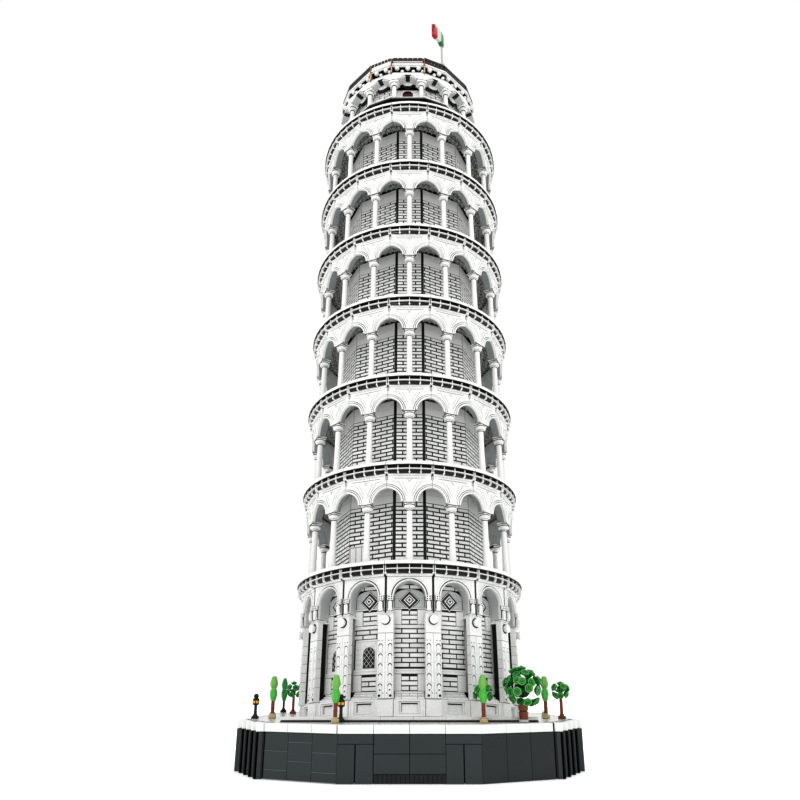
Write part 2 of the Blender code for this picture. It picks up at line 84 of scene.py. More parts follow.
def plastic(name, colour, rough=0.24, spread=0.05, grain=0.12, coat=0.25, glow=0.0):
    """Moulded plastic: bricks differ a little in tone, under a fine skin and handling marks."""
    material, nodes, links = new_material(name)
    shader = nodes["Principled BSDF"]
    shader.inputs["Coat Weight"].default_value = coat
    shader.inputs["Coat Roughness"].default_value = 0.12
    shader.inputs["IOR"].default_value = 1.5
    place = add_node(nodes, "TexCoord").outputs["Object"]
    geometry = add_node(nodes, "NewGeometry")
    cloud = add_node(nodes, "TexNoise", Scale=55.0, Detail=3.0)
    links.new(place, cloud.inputs["Vector"])
    tone = add_node(nodes, "MapRange", To_Min=1.0 - spread, To_Max=1.0 + spread * 0.4)
    links.new(geometry.outputs["Random Per Island"], tone.inputs["Value"])
    mix = add_node(nodes, "Mix")
    mix.data_type = "RGBA"
    mix.blend_type = "MULTIPLY"
    mix.inputs["Factor"].default_value = 1.0
    mix.inputs["A"].default_value = (*colour, 1.0)
    dark_end = 1.0 - spread * 0.5
    shade = add_node(nodes, "MapRange", From_Min=0.3, From_Max=0.7, To_Min=dark_end, To_Max=1.0)
    links.new(cloud.outputs["Fac"], shade.inputs["Value"])
    product = add_node(nodes, "Math")
    product.operation = "MULTIPLY"
    links.new(tone.outputs["Result"], product.inputs[0])
    links.new(shade.outputs["Result"], product.inputs[1])
    links.new(product.outputs["Value"], mix.inputs["B"])
    links.new(mix.outputs["Result"], shader.inputs["Base Color"])
    wear = add_node(nodes, "TexNoise", Scale=420.0, Detail=4.0)
    links.new(place, wear.inputs["Vector"])
    gloss = add_node(nodes, "MapRange", To_Min=rough * 0.75, To_Max=rough * 1.45)
    links.new(wear.outputs["Fac"], gloss.inputs["Value"])
    links.new(gloss.outputs["Result"], shader.inputs["Roughness"])
    skin = add_node(nodes, "TexNoise", Scale=2600.0)
    links.new(place, skin.inputs["Vector"])
    bump = add_node(nodes, "Bump", Strength=grain, Distance=0.00006)
    links.new(skin.outputs["Fac"], bump.inputs["Height"])
    links.new(bump.outputs["Normal"], shader.inputs["Normal"])
    if glow:
        shader.inputs["Emission Color"].default_value = (*colour, 1.0)
        shader.inputs["Emission Strength"].default_value = glow
    return material


FINISHES = {
    "white": plastic("white_plastic", (0.87, 0.87, 0.86)),
    "wall": plastic("wall_plastic", (0.93, 0.93, 0.92), rough=0.32, spread=0.10),
    # Dark grey; on the gallery arch soffits and on some thin seam lines it is painted shade on white
    # plastic.
    "grey": plastic("grey_plastic", (0.42, 0.44, 0.45)),
    # Light grey; on the ground arches' soffits and jambs and on the tympana it is painted shade on white
    # plastic.
    "stone": plastic("stone_plastic", (0.60, 0.61, 0.61), rough=0.3),
    "paving": plastic("paving_plastic", (0.72, 0.73, 0.73), spread=0.06),
    # Near-black: painted shade in the gaps, grooves, seams and creases between white parts, and the colour
    # of the dark cypress's foot and stem.
    "gap_shade_and_black": plastic("gap_shade_and_black_plastic", (0.012, 0.013, 0.013), rough=0.6, coat=0.0),
    # Black; in the cornices' hollows, under the floors and the crown's ledge, in the seams between bays and
    # on the crown's drum it is painted shade.
    "black": plastic("black_plastic", (0.008, 0.009, 0.010), rough=0.30),
    # Painted shade: a darkened copy of the white plastic for the undersides of the floors.
    "ceiling": plastic("ceiling_plastic", (0.44, 0.445, 0.44), rough=0.45, coat=0.0),
    "dark": plastic("dark_plastic", (0.038, 0.052, 0.053), rough=0.30, spread=0.14),
    # Painted highlight: a lighter copy of the base's dark plastic, along the shelves' edges on the left
    # side.
    "edge": plastic("edge_plastic", (0.15, 0.165, 0.17), rough=0.35),
    "lime": plastic("lime_plastic", (0.11, 0.52, 0.09), rough=0.2),
    "pale_lime": plastic("pale_lime_plastic", (0.23, 0.52, 0.13), rough=0.2),
    "green": plastic("green_plastic", (0.012, 0.27, 0.040), rough=0.2),
    "leaf_shade": plastic("leaf_shade_plastic", (0.003, 0.05, 0.010), rough=0.3),
    # Painted shade: a darker copy of the base's dark plastic, for the slanted faces on the right side.
    "deep": plastic("deep_plastic", (0.020, 0.029, 0.028), rough=0.28, spread=0.14),
    # Painted highlight: the light green rings on the leaf pieces.
    "leaf_highlight": plastic("leaf_highlight_plastic", (0.14, 0.55, 0.12), rough=0.2),
    "brown": plastic("brown_plastic", (0.24, 0.062, 0.022), rough=0.26),
    "rust": plastic("rust_plastic", (0.30, 0.12, 0.04), rough=0.3),
    "tan": plastic("tan_plastic", (0.62, 0.52, 0.30), rough=0.28),
    # Painted light: the lamp's yellow band glows, though it gives no light.
    "yellow": plastic("yellow_plastic", (0.85, 0.50, 0.03), rough=0.22, glow=0.15),
    "flag_green": plastic("flag_green_plastic", (0.005, 0.22, 0.035), rough=0.22),
    "flag_red": plastic("flag_red_plastic", (0.50, 0.006, 0.010), rough=0.22),
    # Painted shade: the flag's white stripe is darkened to a light grey for its shading.
    "flag_white": plastic("flag_white_plastic", (0.70, 0.71, 0.71), rough=0.22),
    "steel": plastic("steel_plastic", (0.55, 0.53, 0.50), rough=0.25),
    # Painted shade: the dark back of the crown's doorway.
    "dim": plastic("dim_plastic", (0.055, 0.03, 0.025), rough=0.5),
}


# ---------------------------------------------------------------- mesh building
class Shape:
    """Collects the faces of many bricks, in millimetres, and makes one object of them."""

    def __init__(self, fit=None):
        self.fit = fit or Matrix.Identity(4)
        self.points = []
        self.faces = []
        self.slots = []
        self.names = []

    def add(self, matrix, points, faces, finish):
        start = len(self.points)
        placed = self.fit @ matrix
        self.points.extend((placed @ Vector(point))[:] for point in points)
        if finish not in self.names:
            self.names.append(finish)
        index = self.names.index(finish)
        for face in faces:
            self.faces.append([start + corner for corner in face])
            self.slots.append(index)

    def make(self, name, node, body=MAIN, smooth=35):
        mesh = bpy.data.meshes.new(name)
        scaled = [(x * 0.001, y * 0.001, z * 0.001) for x, y, z in self.points]
        mesh.from_pydata(scaled, [], self.faces)
        for finish in self.names:
            mesh.materials.append(FINISHES[finish])
        mesh.polygons.foreach_set("material_index", self.slots)
        outward = bmesh.new()
        outward.from_mesh(mesh)
        bmesh.ops.recalc_face_normals(outward, faces=outward.faces[:])
        outward.to_mesh(mesh)
        outward.free()
        mesh.shade_smooth()
        mesh.set_sharp_from_angle(angle=math.radians(smooth))
        made = bpy.data.objects.new(name, mesh)
        bpy.context.scene.collection.objects.link(made)
        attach(made, body)
        if node:
            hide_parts(node)
        return made


def bay(angle, apothem, height=0.0):
    """Local frame of a face: x to the right, y inwards, z up along the tower."""
    return TOWER @ Matrix.Rotation(angle, 4, "Z") @ Matrix.Translation((0, -apothem, height))


def spread_loops(loops, closed_back=False):
    """Faces between equal loops given from the back to the front, and the front face."""
    points = [point for loop in loops for point in loop]
    count = len(loops[0])
    faces = []
    for level in range(len(loops) - 1):
        low = level * count
        high = low + count
        for side in range(count):
            after = (side + 1) % count
            faces.append((low + side, low + after, high + after, high + side))
    last = (len(loops) - 1) * count
    faces.append(tuple(range(last, last + count)))
    if closed_back:
        faces.append(tuple(range(count - 1, -1, -1)))
    return points, faces


def inset(outline, amount):
    """Moves a counter-clockwise (x, z) outline inwards."""
    moved = []
    count = len(outline)
    for index, (x, z) in enumerate(outline):
        before = Vector(outline[index - 1])
        after = Vector(outline[(index + 1) % count])
        here = Vector((x, z))
        first = (here - before).normalized()
        second = (after - here).normalized()
        normal = Vector((-first.y, first.x)) + Vector((-second.y, second.x))
        length = max(normal.length_squared, 0.3)
        moved.append(tuple(here + normal * (2 * amount / length)))
    return moved


def plate(shape, matrix, outline, front, back, finish, cut=0.25, closed=False):
    """An upright plate: a counter-clockwise (x, z) outline with a chamfered front edge."""
    inner = inset(outline, cut) if cut else outline
    loops = [[(x, back, z) for x, z in outline]]
    if cut:
        loops.append([(x, front + cut, z) for x, z in outline])
    loops.append([(x, front, z) for x, z in inner])
    points, faces = spread_loops(loops, closed)
    shape.add(matrix, points, faces, finish)


def block(shape, matrix, x0, x1, z0, z1, front, back, finish, cut=0.25, closed=False):
    outline = [(x0, z0), (x1, z0), (x1, z1), (x0, z1)]
    plate(shape, matrix, outline, front, back, finish, cut, closed)


def blocks(shape, matrix, rows):
    """Several blocks in one frame: rows of (x0, x1, z0, z1, front, back, finish, ...)."""
    for row in rows:
        block(shape, matrix, *row)


def mitred(shape, matrix, apothem, seam, front, back, z0, z1, finish, cut=0.25, tangent=TAN):
    """A block that fills its bay: its ends follow the corners of the plan."""
    half_front = (apothem - front) * tangent - seam
    half_back = (apothem - back) * tangent - seam
    wide = [(-1, z0), (1, z0), (1, z1), (-1, z1)]
    loops = [[(side * half_back, back, z) for side, z in wide]]
    half_step = (apothem - front - cut) * tangent - seam
    loops.append([(side * half_step, front + cut, z) for side, z in wide])
    low, high = z0 + cut, z1 - cut
    face = [(-1, low), (1, low), (1, high), (-1, high)]
    loops.append([(side * (half_front - cut), front, z) for side, z in face])
    points, faces = spread_loops(loops, True)
    shape.add(matrix, points, faces, finish)


def slab(shape, matrix, outline, z0, z1, finish, cut=0.3, closed=True):
    """A flat plate: a counter-clockwise (x, y) outline with a chamfered top edge."""
    inner = inset(outline, cut) if cut else outline
    loops = [[(x, y, z0) for x, y in outline]]
    if cut:
        loops.append([(x, y, z1 - cut) for x, y in outline])
    loops.append([(x, y, z1) for x, y in inner])
    points, faces = spread_loops(loops, closed)
    shape.add(matrix, points, faces, finish)


def lathe(shape, matrix, profile, sides, finish, twist=0.5):
    """A turned piece from (radius, height) pairs, bottom to top, with closed ends."""
    loops = []
    for radius, height in profile:
        angles = [2 * math.pi * (side + twist) / sides for side in range(sides)]
        loops.append([(radius * math.cos(a), radius * math.sin(a), height) for a in angles])
    points, faces = spread_loops(loops, True)
    shape.add(matrix, points, faces, finish)


def ball(shape, matrix, radius, sides, finish, squash=1.0, low=-90):
    profile = []
    for step in range(7):
        angle = math.radians(low + (88 - low) * step / 6)
        profile.append((max(radius * math.cos(angle), 0.02), radius * squash * math.sin(angle)))
    lathe(shape, matrix, profile, sides, finish)


def ring(shape, plan, profile, finish, matrix=TOWER):
    """A ring over plan(radius), from a closed list of (radius, height), outside upwards first."""
    loops = [[(x, y, height) for x, y in plan(radius)] for radius, height in profile]
    count = len(loops[0])
    points = [point for loop in loops for point in loop]
    faces = []
    for level in range(len(loops)):
        low = level * count
        high = ((level + 1) % len(loops)) * count
        for side in range(count):
            after = (side + 1) % count
            faces.append((low + side, low + after, high + after, high + side))
    shape.add(matrix, points, faces, finish)


def bay_plan(apothem):
    radius = apothem / math.cos(TURN / 2)
    angles = [TURN * (step + 0.5) for step in range(BAYS)]
    return [(radius * math.sin(a), -radius * math.cos(a)) for a in angles]


def round_plan(radius):
    angles = [2 * math.pi * (step + 0.5) / 64 for step in range(64)]
    return [(radius * math.sin(a), -radius * math.cos(a)) for a in angles]


def curved(shape, index, radius, depth, z0, z1, finish, seam=0.3, cut=0.3):
    """One bay's length of a curved band, with its upper and lower edges rounded off."""
    section = [
        (radius - depth, z0), (radius - cut, z0), (radius, z0 + cut), (radius, z1 - cut),
        (radius - cut, z1), (radius - depth, z1),
    ]  # fmt: skip
    half = TURN / 2 - seam / radius
    points = []
    for step in range(5):
        angle = TURN * index + half * (step - 2) / 2
        points += [(r * math.sin(angle), -r * math.cos(angle), z) for r, z in section]
    faces = [tuple(range(6)), tuple(range(24, 30))]
    for step in range(4):
        for side in range(6):
            after = (side + 1) % 6
            low = 6 * step
            faces.append((low + side, low + after, low + 6 + after, low + 6 + side))
    shape.add(TOWER, points, faces, finish)


def seam_line(shape, matrix, start, end, front, width=0.36, finish="gap_shade_and_black"):
    """A narrow seam between two (x, z) points of a face, drawn dark as painted shade."""
    along = (Vector(end) - Vector(start)).normalized() * (width / 2)
    (x0, z0), (x1, z1) = start, end
    outline = [(x0 + along.y, z0 - along.x), (x1 + along.y, z1 - along.x)]
    outline += [(x1 - along.y, z1 + along.x), (x0 - along.y, z0 + along.x)]
    plate(shape, matrix, outline, front, front + 0.3, finish, 0.0)


def core_plan(reach):
    shrink = reach / 95.0
    quarter = [(17, -95), (69, -69), (95, -17), (95, 17), (69, 69), (17, 95)]
    full = quarter + [(-x, y) for x, y in reversed(quarter)]
    return [(x * shrink, y * shrink) for x, y in full]


def crown_plan(radius):
    plan = []
    for side in range(8):
        for sign in (-1, 1):
            angle = math.radians(45 * side + 13.5 * sign)
            plan.append((radius * math.sin(angle), -radius * math.cos(angle)))
    return plan


def arch_strip(shape, matrix, centre, springing, profile, turns, finish):
    """Sweeps (radius, y) pairs round an arch's centre, which is a function of y."""
    points = []
    for angle in turns:
        for radius, y in profile:
            x = centre(y) - radius * math.cos(angle)
            points.append((x, y, springing + radius * math.sin(angle)))
    count = len(profile)
    faces = []
    for step in range(len(turns) - 1):
        for index in range(count - 1):
            here = step * count + index
            faces.append((here, here + 1, here + count + 1, here + count))
    shape.add(matrix, points, faces, finish)


def masonry(shape, matrix, x0, x1, z0, rows, front, back, finish="wall", gap=1.05, shift=0):
    """Courses of half-lapped blocks, 16 by 4.8, with open joints."""
    for row in range(rows):
        low = z0 + 4.8 * row + gap / 2
        high = low + 4.8 - gap
        start = 8 * ((row + shift) % 2)
        cuts = [x0]
        place = math.floor((x0 - start) / 16) * 16 + start + 16
        while place < x1 - 0.8:
            if place > x0 + 0.8:
                cuts.append(place)
            place += 16
        cuts.append(x1)
        for left, right in zip(cuts, cuts[1:]):
            first = left + (gap / 2 if left > x0 else 0)
            last = right - (gap / 2 if right < x1 else 0)
            block(shape, matrix, first, last, low, high, front, back, finish, 0.28)


# ---------------------------------------------------------------- cornices
def make_cornice(level):
    shape = Shape()
    top = CORNICE_TOPS[level]
    for index in range(BAYS):
        place = bay(TURN * index, 132.4, top)
        curved(shape, index, CORNICE_RADIUS, 15.0, top - 4.0, top, "white", 0.3, 0.35)
        # Painted shade: a black band under the rim.
        curved(shape, index, 134.3, 8.0, top - 4.7, top - 4.05, "black", 0.5, 0.1)
        curved(shape, index, 133.3, 4.0, top - 9.0, top - 8.0, "white", 0.9, 0.15)
        mitred(shape, place, 132.4, 1.3, 4.4, 12.0, -15.3, -12.9, "white", 0.2)
        block(shape, place, -8, 8, -15.1, -13.0, 4.0, 5.0, "white", 0.15)
        for across in (-0.0965, 0.0, 0.0965):
            cornice_rib(shape, bay(TURN * index + across, 133.6, top), 0.4)
        for side in (-1, 1):
            cornice_rib(shape, bay(TURN * index + side * 0.189, 133.6, top), 0.35)
    # Painted shade: black rings behind the ribs and under the frieze stand for the shadow in the cornice's
    # hollows.
    section = [(130.8, -12.8), (130.8, -0.5), (118, -0.5), (118, -12.8)]
    ring(shape, round_plan, [(r, top + z) for r, z in section], "black")
    section = [(127.2, -15.2), (127.2, -12.3), (118, -12.3), (118, -15.2)]
    ring(shape, bay_plan, [(r, top + z) for r, z in section], "black")
    section = [(118.2, -11.0), (118.2, -0.06), (84, -0.06), (84, -11.0)]
    ring(shape, bay_plan, [(r, top + z) for r, z in section], "white")
    make_ceiling(shape, top)
    shape.make("gallery_cornice_%d" % (level + 1), "cornice_%d" % (level + 1))


def cornice_rib(shape, place, half):
    """An upright rib between two slots, ending in a small point."""
    block(shape, place, -half, half, -12.4, -4.2, 0.4, 5.0, "white", 0.12)
    plate(shape, place, [(-1.2, -12.2), (0.0, -14.3), (1.2, -12.2)], 1.2, 5.0, "white", 0.1)


def make_ceiling(shape, top):
    """The undersides of the floor's bricks: radial rails, cross rails and hollow tubes, darkened as painted
    shade over a black ring.
    """
    # Painted shade: a black ring under the floor.
    section = [(118.5, -12.6), (118.5, -11.0), (90, -11.0), (90, -12.6)]
    ring(shape, bay_plan, [(r, top + z) for r, z in section], "black")
    for index in range(BAYS):
        place = bay(TURN * index, 118.0, top)
        for across in (-20.0, -12.0, -4.0, 4.0, 12.0, 20.0):
            block(shape, place, across - 0.6, across + 0.6, -15.0, -12.4, 0.4, 24, "ceiling", 0.1)
        for depth in (5.0, 13.0, 21.0):
            block(shape, place, -22, 22, -14.4, -12.5, depth, depth + 1.0, "ceiling", 0.1)
        for across in (-16.0, -8.0, 0.0, 8.0, 16.0):
            for depth in (9.5, 17.5):
                spot = place @ Matrix.Translation((across, depth, -15.0))
                lathe(shape, spot, [(1.2, 0), (2.4, 0), (2.4, 2.5)], 10, "ceiling")


# ---------------------------------------------------------------- galleries
# Painted shade: the near-black strips between the mouldings, and the grey soffit.
GALLERY_BANDS = [
    ([(22.8, 0.02), (22.4, 0.02)], "gap_shade_and_black"),
    ([(22.4, 0.0), (22.2, -0.7), (20.8, -0.7), (20.6, 0.0)], "white"),
    ([(20.6, -0.02), (20.15, -0.02)], "gap_shade_and_black"),
    ([(20.15, 0.0), (19.95, -0.8), (18.75, -0.8), (18.55, 0.0)], "white"),
    ([(18.55, -0.02), (18.1, -0.02)], "gap_shade_and_black"),
    ([(18.1, 0.0), (17.9, -0.9), (16.3, -0.9), (16.0, -0.5), (16.0, 2.5)], "white"),
    ([(16.0, 2.5), (16.4, 2.6), (20.5, 12.0)], "grey"),
]
QUARTER = [math.pi / 2 * step / 9 for step in range(10)]


def arch_panel(shape, place, apothem, springing, top, side):
    """Half a gallery arch with the wall over it. side is -1 for the left half."""

    def centre(y):
        return side * (apothem - y) * TAN

    turns = [math.pi - a for a in QUARTER] if side < 0 else QUARTER
    seam = side * 0.18
    for profile, finish in GALLERY_BANDS:
        arch_strip(shape, place, lambda y: centre(y) - seam, springing, profile, turns, finish)
    for y, radius, flip in ((0.0, 22.4, False), (12.0, 20.5, True)):
        points = []
        for angle in QUARTER:
            x = centre(y) - seam - side * radius * math.cos(angle)
            points.append((x, y, springing + radius * math.sin(angle)))
            points.append((x, y, top))
        faces = []
        for step in range(len(QUARTER) - 1):
            here = 2 * step
            faces.append((here, here + 2, here + 3, here + 1))
        if (side > 0) == flip:
            faces = [face[::-1] for face in faces]
        shape.add(place, points, faces, "white")


def make_gallery(level):
    shape = Shape()
    floor = CORNICE_TOPS[level]
    next_top = CORNICE_TOPS[level + 1]
    springing = -45.5
    top = -15.4
    column = [
        (4.9, 0.2), (4.9, 1.6), (4.3, 2.2), (4.25, 8.0), (3.9, 9.5), (3.5, 20), (3.3, 40),
        (3.25, 57.8), (3.5, 58.2), (3.5, 59.2), (4.6, 60.2), (6.2, 60.7), (6.4, 61.1),
        (6.4, 62.9), (6.1, 63.2), (4.8, 63.3),
    ]  # fmt: skip
    for index in range(BAYS):
        place = bay(TURN * index, ARCADE_REACH, next_top)
        for side in (-1, 1):
            arch_panel(shape, place, ARCADE_REACH, springing, top, side)
        middle = ARCADE_REACH * TAN - 22.4
        back_middle = 114.5 * TAN - 20.5
        strips = [(middle, 0.0, 1), (back_middle, 12.0, -1)]
        for half, y, turn in strips:
            corners = [(-half, y, springing), (half, y, springing), (half, y, top), (-half, y, top)]
            shape.add(place, corners, [(0, 1, 2, 3)[::turn]], "white")
        # Painted shade: the near-black strip under the impost.
        blocks(shape, place, [
            (-6.6, 6.6, -45.9, -44.7, -0.5, 11.9, "white", 0.2, True),
            (-5.6, 5.6, -48.1, -45.6, 0.5, 10.5, "white", 0.3),
            (-6.2, 6.2, -46.4, -45.85, -0.1, 10.8, "gap_shade_and_black", 0.0),
        ])
        spot = bay(TURN * index, 121.0, floor)
        lathe(shape, spot, column, 20, "white")
        # Painted shade: dark rings round the column, under and over the capital.
        for low, radius in ((57.2, 3.55), (59.35, 3.9), (63.15, 6.1)):
            lathe(shape, spot, [(radius, low), (radius, low + 0.75)], 20, "gap_shade_and_black")
        make_spandrel(shape, place)
        # Painted shade: a black block and a dark line in the seam between bays.
        seam = bay(TURN * (index + 0.5), ARCADE_REACH / math.cos(TURN / 2), next_top)
        block(shape, seam, -1.3, 1.3, -20.6, -15.2, 0.15, 3.0, "black", 0.05)
        block(shape, seam, -0.16, 0.16, -29.0, -20.4, 0.12, 4.0, "gap_shade_and_black", 0.0)
    shape.make("gallery_arches_%d" % (level + 2), "arcade_%d" % (level + 2))


def make_spandrel(shape, place):
    """Raised ornament over a column: a band, a V and the small X at its top."""
    block(shape, place, -17.0, 17.0, -17.9, -15.6, -0.45, 0.2, "white", 0.2)
    # Painted shade: the line under the band, the V and the small X are dark seam lines.
    seam_line(shape, place, (-17.0, -18.1), (17.0, -18.1), -0.03)
    for side in (-1, 1):
        seam_line(shape, place, (side * 3.0, -38.5), (side * 12.4, -21.6), -0.04, 0.24)
        seam_line(shape, place, (side * 1.6, -36.0), (side * 8.4, -22.4), -0.04, 0.18)
        seam_line(shape, place, (-side * 2.2, -19.0), (side * 2.2, -24.0), -0.05, 0.18)
        seam_line(shape, place, (side * 12.4, -21.6), (side * 19.5, -21.6), -0.04, 0.18)
    plate(shape, place, [(-1.1, -37.5), (1.1, -37.5), (6.9, -23.0), (-6.9, -23.0)], -0.5, 0.2, "white", 0.25)


# ---------------------------------------------------------------- inner walls
WIDE_TURN = math.atan2(26, 52)
WIDE_APOTHEM = 17 * math.sin(WIDE_TURN) + 95 * math.cos(WIDE_TURN)
WIDE_NEAR = 95 * math.sin(WIDE_TURN) - 17 * math.cos(WIDE_TURN)
WIDE_FAR = 69 * math.cos(WIDE_TURN) - 69 * math.sin(WIDE_TURN)


def core_faces():
    """(angle, apothem, left end, right end, shift) of the inner wall's twelve sides."""
    for quarter in range(4):
        angle = math.pi / 2 * quarter
        yield angle, CORE_REACH, -15.4, 15.4, 0
        yield angle + WIDE_TURN, WIDE_APOTHEM, -WIDE_NEAR + 1.9, WIDE_FAR - 0.5, 1
        yield angle - WIDE_TURN, WIDE_APOTHEM, -WIDE_FAR + 0.5, WIDE_NEAR - 1.9, 1


def make_core_wall(level):
    shape = Shape()
    floor = CORNICE_TOPS[level]
    ceiling = CORNICE_TOPS[level + 1] - 15.4
    low = floor + 0.3
    # Painted shade: a near-black ring behind the masonry shows through its joints.
    section = [(94.55, low), (94.55, ceiling), (89, ceiling), (89, low)]
    ring(shape, core_plan, section, "gap_shade_and_black")
    for number, (angle, apothem, left, right, shift) in enumerate(core_faces()):
        place = bay(angle, apothem, floor)
        skip = level == 0 and number == 2
        masonry(shape, place, left, right, 0.4, 16, 0.0, 1.6, gap=1.45, shift=shift)
        for low in (77.2, 86.8):
            block(shape, place, left, right, low, low + 9.4, 0.05, 1.6, "wall", 0.15)
        if skip:
            block(shape, place, left, left + 2.4, 0.4, 33.0, -0.6, 1.0, "rust", 0.2)
        if level == 3 and number == 1:
            hatch = [(left + 30, 0.6), (left + 39, 0.6), (left + 39, 11.5), (left + 30, 11.5)]
            plate(shape, place, hatch, -0.3, 1.0, "gap_shade_and_black", 0.2)
    # Painted shade: black strips in the gaps at the ends of the narrow sides.
    for quarter in range(4):
        for side in (-1, 1):
            edge = math.pi / 2 * quarter
            place = bay(edge, CORE_REACH, floor)
            block(shape, place, side * 17.0 - 1.7, side * 17.0 + 1.7, 0.3, 96.2, 0.5, 3.0, "black", 0.0)
    shape.make("gallery_wall_%d" % (level + 2), "core_wall_%d" % (level + 2))


def make_gallery_door():
    shape = Shape()
    place = bay(-WIDE_TURN, WIDE_APOTHEM, CORNICE_TOPS[0]) @ Matrix.Translation((-17.0, 0, 0))
    block(shape, place, -12.5, 12.5, 0.4, 31.3, -1.0, -0.3, "wall", 0.3, True)
    block(shape, place, -11.6, 11.6, 1.0, 30.6, -1.3, -0.9, "grey", 0.25)
    for across in (-7.5, 0.0, 7.5):
        block(shape, place, across - 3.1, across + 3.1, 2.4, 29.2, -1.75, -1.2, "white", 0.3)
    knob = place @ Matrix.Translation((9.8, -1.3, 14.0)) @ Matrix.Rotation(math.pi / 2, 4, "X")
    lathe(shape, knob, [(1.0, 0), (1.0, 0.3), (0.7, 0.6)], 12, "steel")
    shape.make("gallery_door_panel", "gallery_door")


# ---------------------------------------------------------------- ground storey
# Painted shade: the near-black strips between the mouldings, and the stone-grey soffit.
GROUND_BANDS = [
    ([(21.0, 0.02), (20.5, 0.02)], "gap_shade_and_black"),
    ([(20.4, 0.0), (20.2, -1.2), (19.0, -1.2), (18.8, 0.0)], "white"),
    ([(18.8, -0.02), (18.0, -0.02)], "gap_shade_and_black"),
    ([(18.0, 0.0), (17.7, -1.0), (16.8, -1.0), (16.3, -0.5), (16.3, 2.5)], "white"),
    ([(16.3, 2.5), (16.3, 15.6)], "stone"),
]
HALF_TURN = [math.pi * step / 20 for step in range(21)]


def make_ground_arcade():
    shape = Shape()
    for index in range(BAYS):
        place = bay(TURN * index, GROUND_ARCH)
        blind_arch(shape, place)
        for side in (-1, 1):
            arch_foot(shape, place, side)
        pilaster(shape, bay(TURN * (index + 0.5), 124.6))
        seam = bay(TURN * (index + 0.5), 125.6)
        # Painted shade: a black strip in the gap between neighbouring bays.
        block(shape, seam, -1.35, 1.35, 92.5, 129.2, 0.0, 4.0, "black", 0.0)
    shape.make("ground_arches", "ground_arcade")


def blind_arch(shape, place):
    springing = 109.0
    top = 129.3
    half = GROUND_ARCH * TAN - 1.3
    for profile, finish in GROUND_BANDS:
        arch_strip(shape, place, lambda y: 0.0, springing, profile, HALF_TURN, finish)
    points = []
    for angle in HALF_TURN:
        x = -20.4 * math.cos(angle)
        points.append((x, 0.0, springing + 20.4 * math.sin(angle)))
        points.append((x, 0.0, top + 0.02))
    faces = [(2 * s, 2 * s + 2, 2 * s + 3, 2 * s + 1) for s in range(20)]
    shape.add(place, points, faces, "white")
    for side in (-1, 1):
        x0, x1 = sorted((side * 20.4, side * half))
        block(shape, place, x0, x1, springing, top, 0.0, 4.0, "white", 0.0)
        x0, x1 = sorted((side * 16.3, side * half))
        # Painted shade: the stone-grey inner part of each jamb, the near-black strip under the impost and
        # the dark upright seams.
        blocks(shape, place, [
            (x0, x1, 93.0, springing, 0.0, 3.0, "white", 0.25),
            (x0, x1, 93.0, springing, 3.0, 15.6, "stone", 0.25),
            (x0 - 0.3, x1 + 0.3, 92.3, 93.6, -0.6, 12.0, "white", 0.2),
            (x0 - 0.2, x1 + 0.2, 93.6, 94.1, -0.2, 8.0, "gap_shade_and_black", 0.0),
        ])
        seam_line(shape, place, (side * 16.9, 94.0), (side * 16.9, 108.8), -0.03)
        seam_line(shape, place, (side * 22.7, 94.0), (side * 22.7, 110.0), -0.03)
    block(shape, place, -half, half, 127.4, 129.3, -0.5, 0.3, "white", 0.2)
    block(shape, place, -8.0, 8.0, 127.5, 129.2, -0.9, 0.0, "white", 0.15)


def arch_foot(shape, place, side):
    """A small plate with four dimples over a rounded bracket, at an arch's foot."""
    middle = side * 19.8
    # Painted shade: the near-black backing plates, dimples and outlines round the plate and the bracket.
    block(shape, place, middle - 3.4, middle + 3.4, 104.1, 110.0, -0.2, 0.2, "gap_shade_and_black", 0.0)
    block(shape, place, middle - 3.0, middle + 3.0, 104.6, 109.6, -2.4, 0.2, "white", 0.25)
    for dx in (-1.35, 1.35):
        for dz in (-1.1, 1.1):
            spot = place @ Matrix.Translation((middle + dx, -2.42, 107.1 + dz))
            disc = spot @ Matrix.Rotation(math.pi / 2, 4, "X")
            lathe(shape, disc, [(0.72, 0), (0.66, 0.04)], 8, "gap_shade_and_black")
    outline = []
    for step in range(16):
        angle = 2 * math.pi * step / 16
        lift = 3.0 if math.sin(angle) > 0 else -3.0
        outline.append((middle + 2.2 * math.cos(angle), 98.9 + lift + 2.2 * math.sin(angle)))
    plate(shape, place, outline, -3.2, 0.2, "white", 0.7)
    rim = [(middle + (x - middle) * 1.32, 98.9 + (z - 98.9) * 1.1) for x, z in outline]
    plate(shape, place, rim, -0.5, 0.2, "gap_shade_and_black", 0.0)
    inner = [(middle + (x - middle) * 0.45, 98.9 + (z - 98.9) * 0.62) for x, z in outline]
    plate(shape, place, inner, -3.9, -3.0, "white", 0.3)
    block(shape, place, middle - 2.6, middle + 2.6, 94.0, 96.4, -1.3, 0.2, "white", 0.3)
    block(shape, place, middle - 3.0, middle + 3.0, 93.5, 96.9, -0.3, 0.2, "gap_shade_and_black", 0.0)


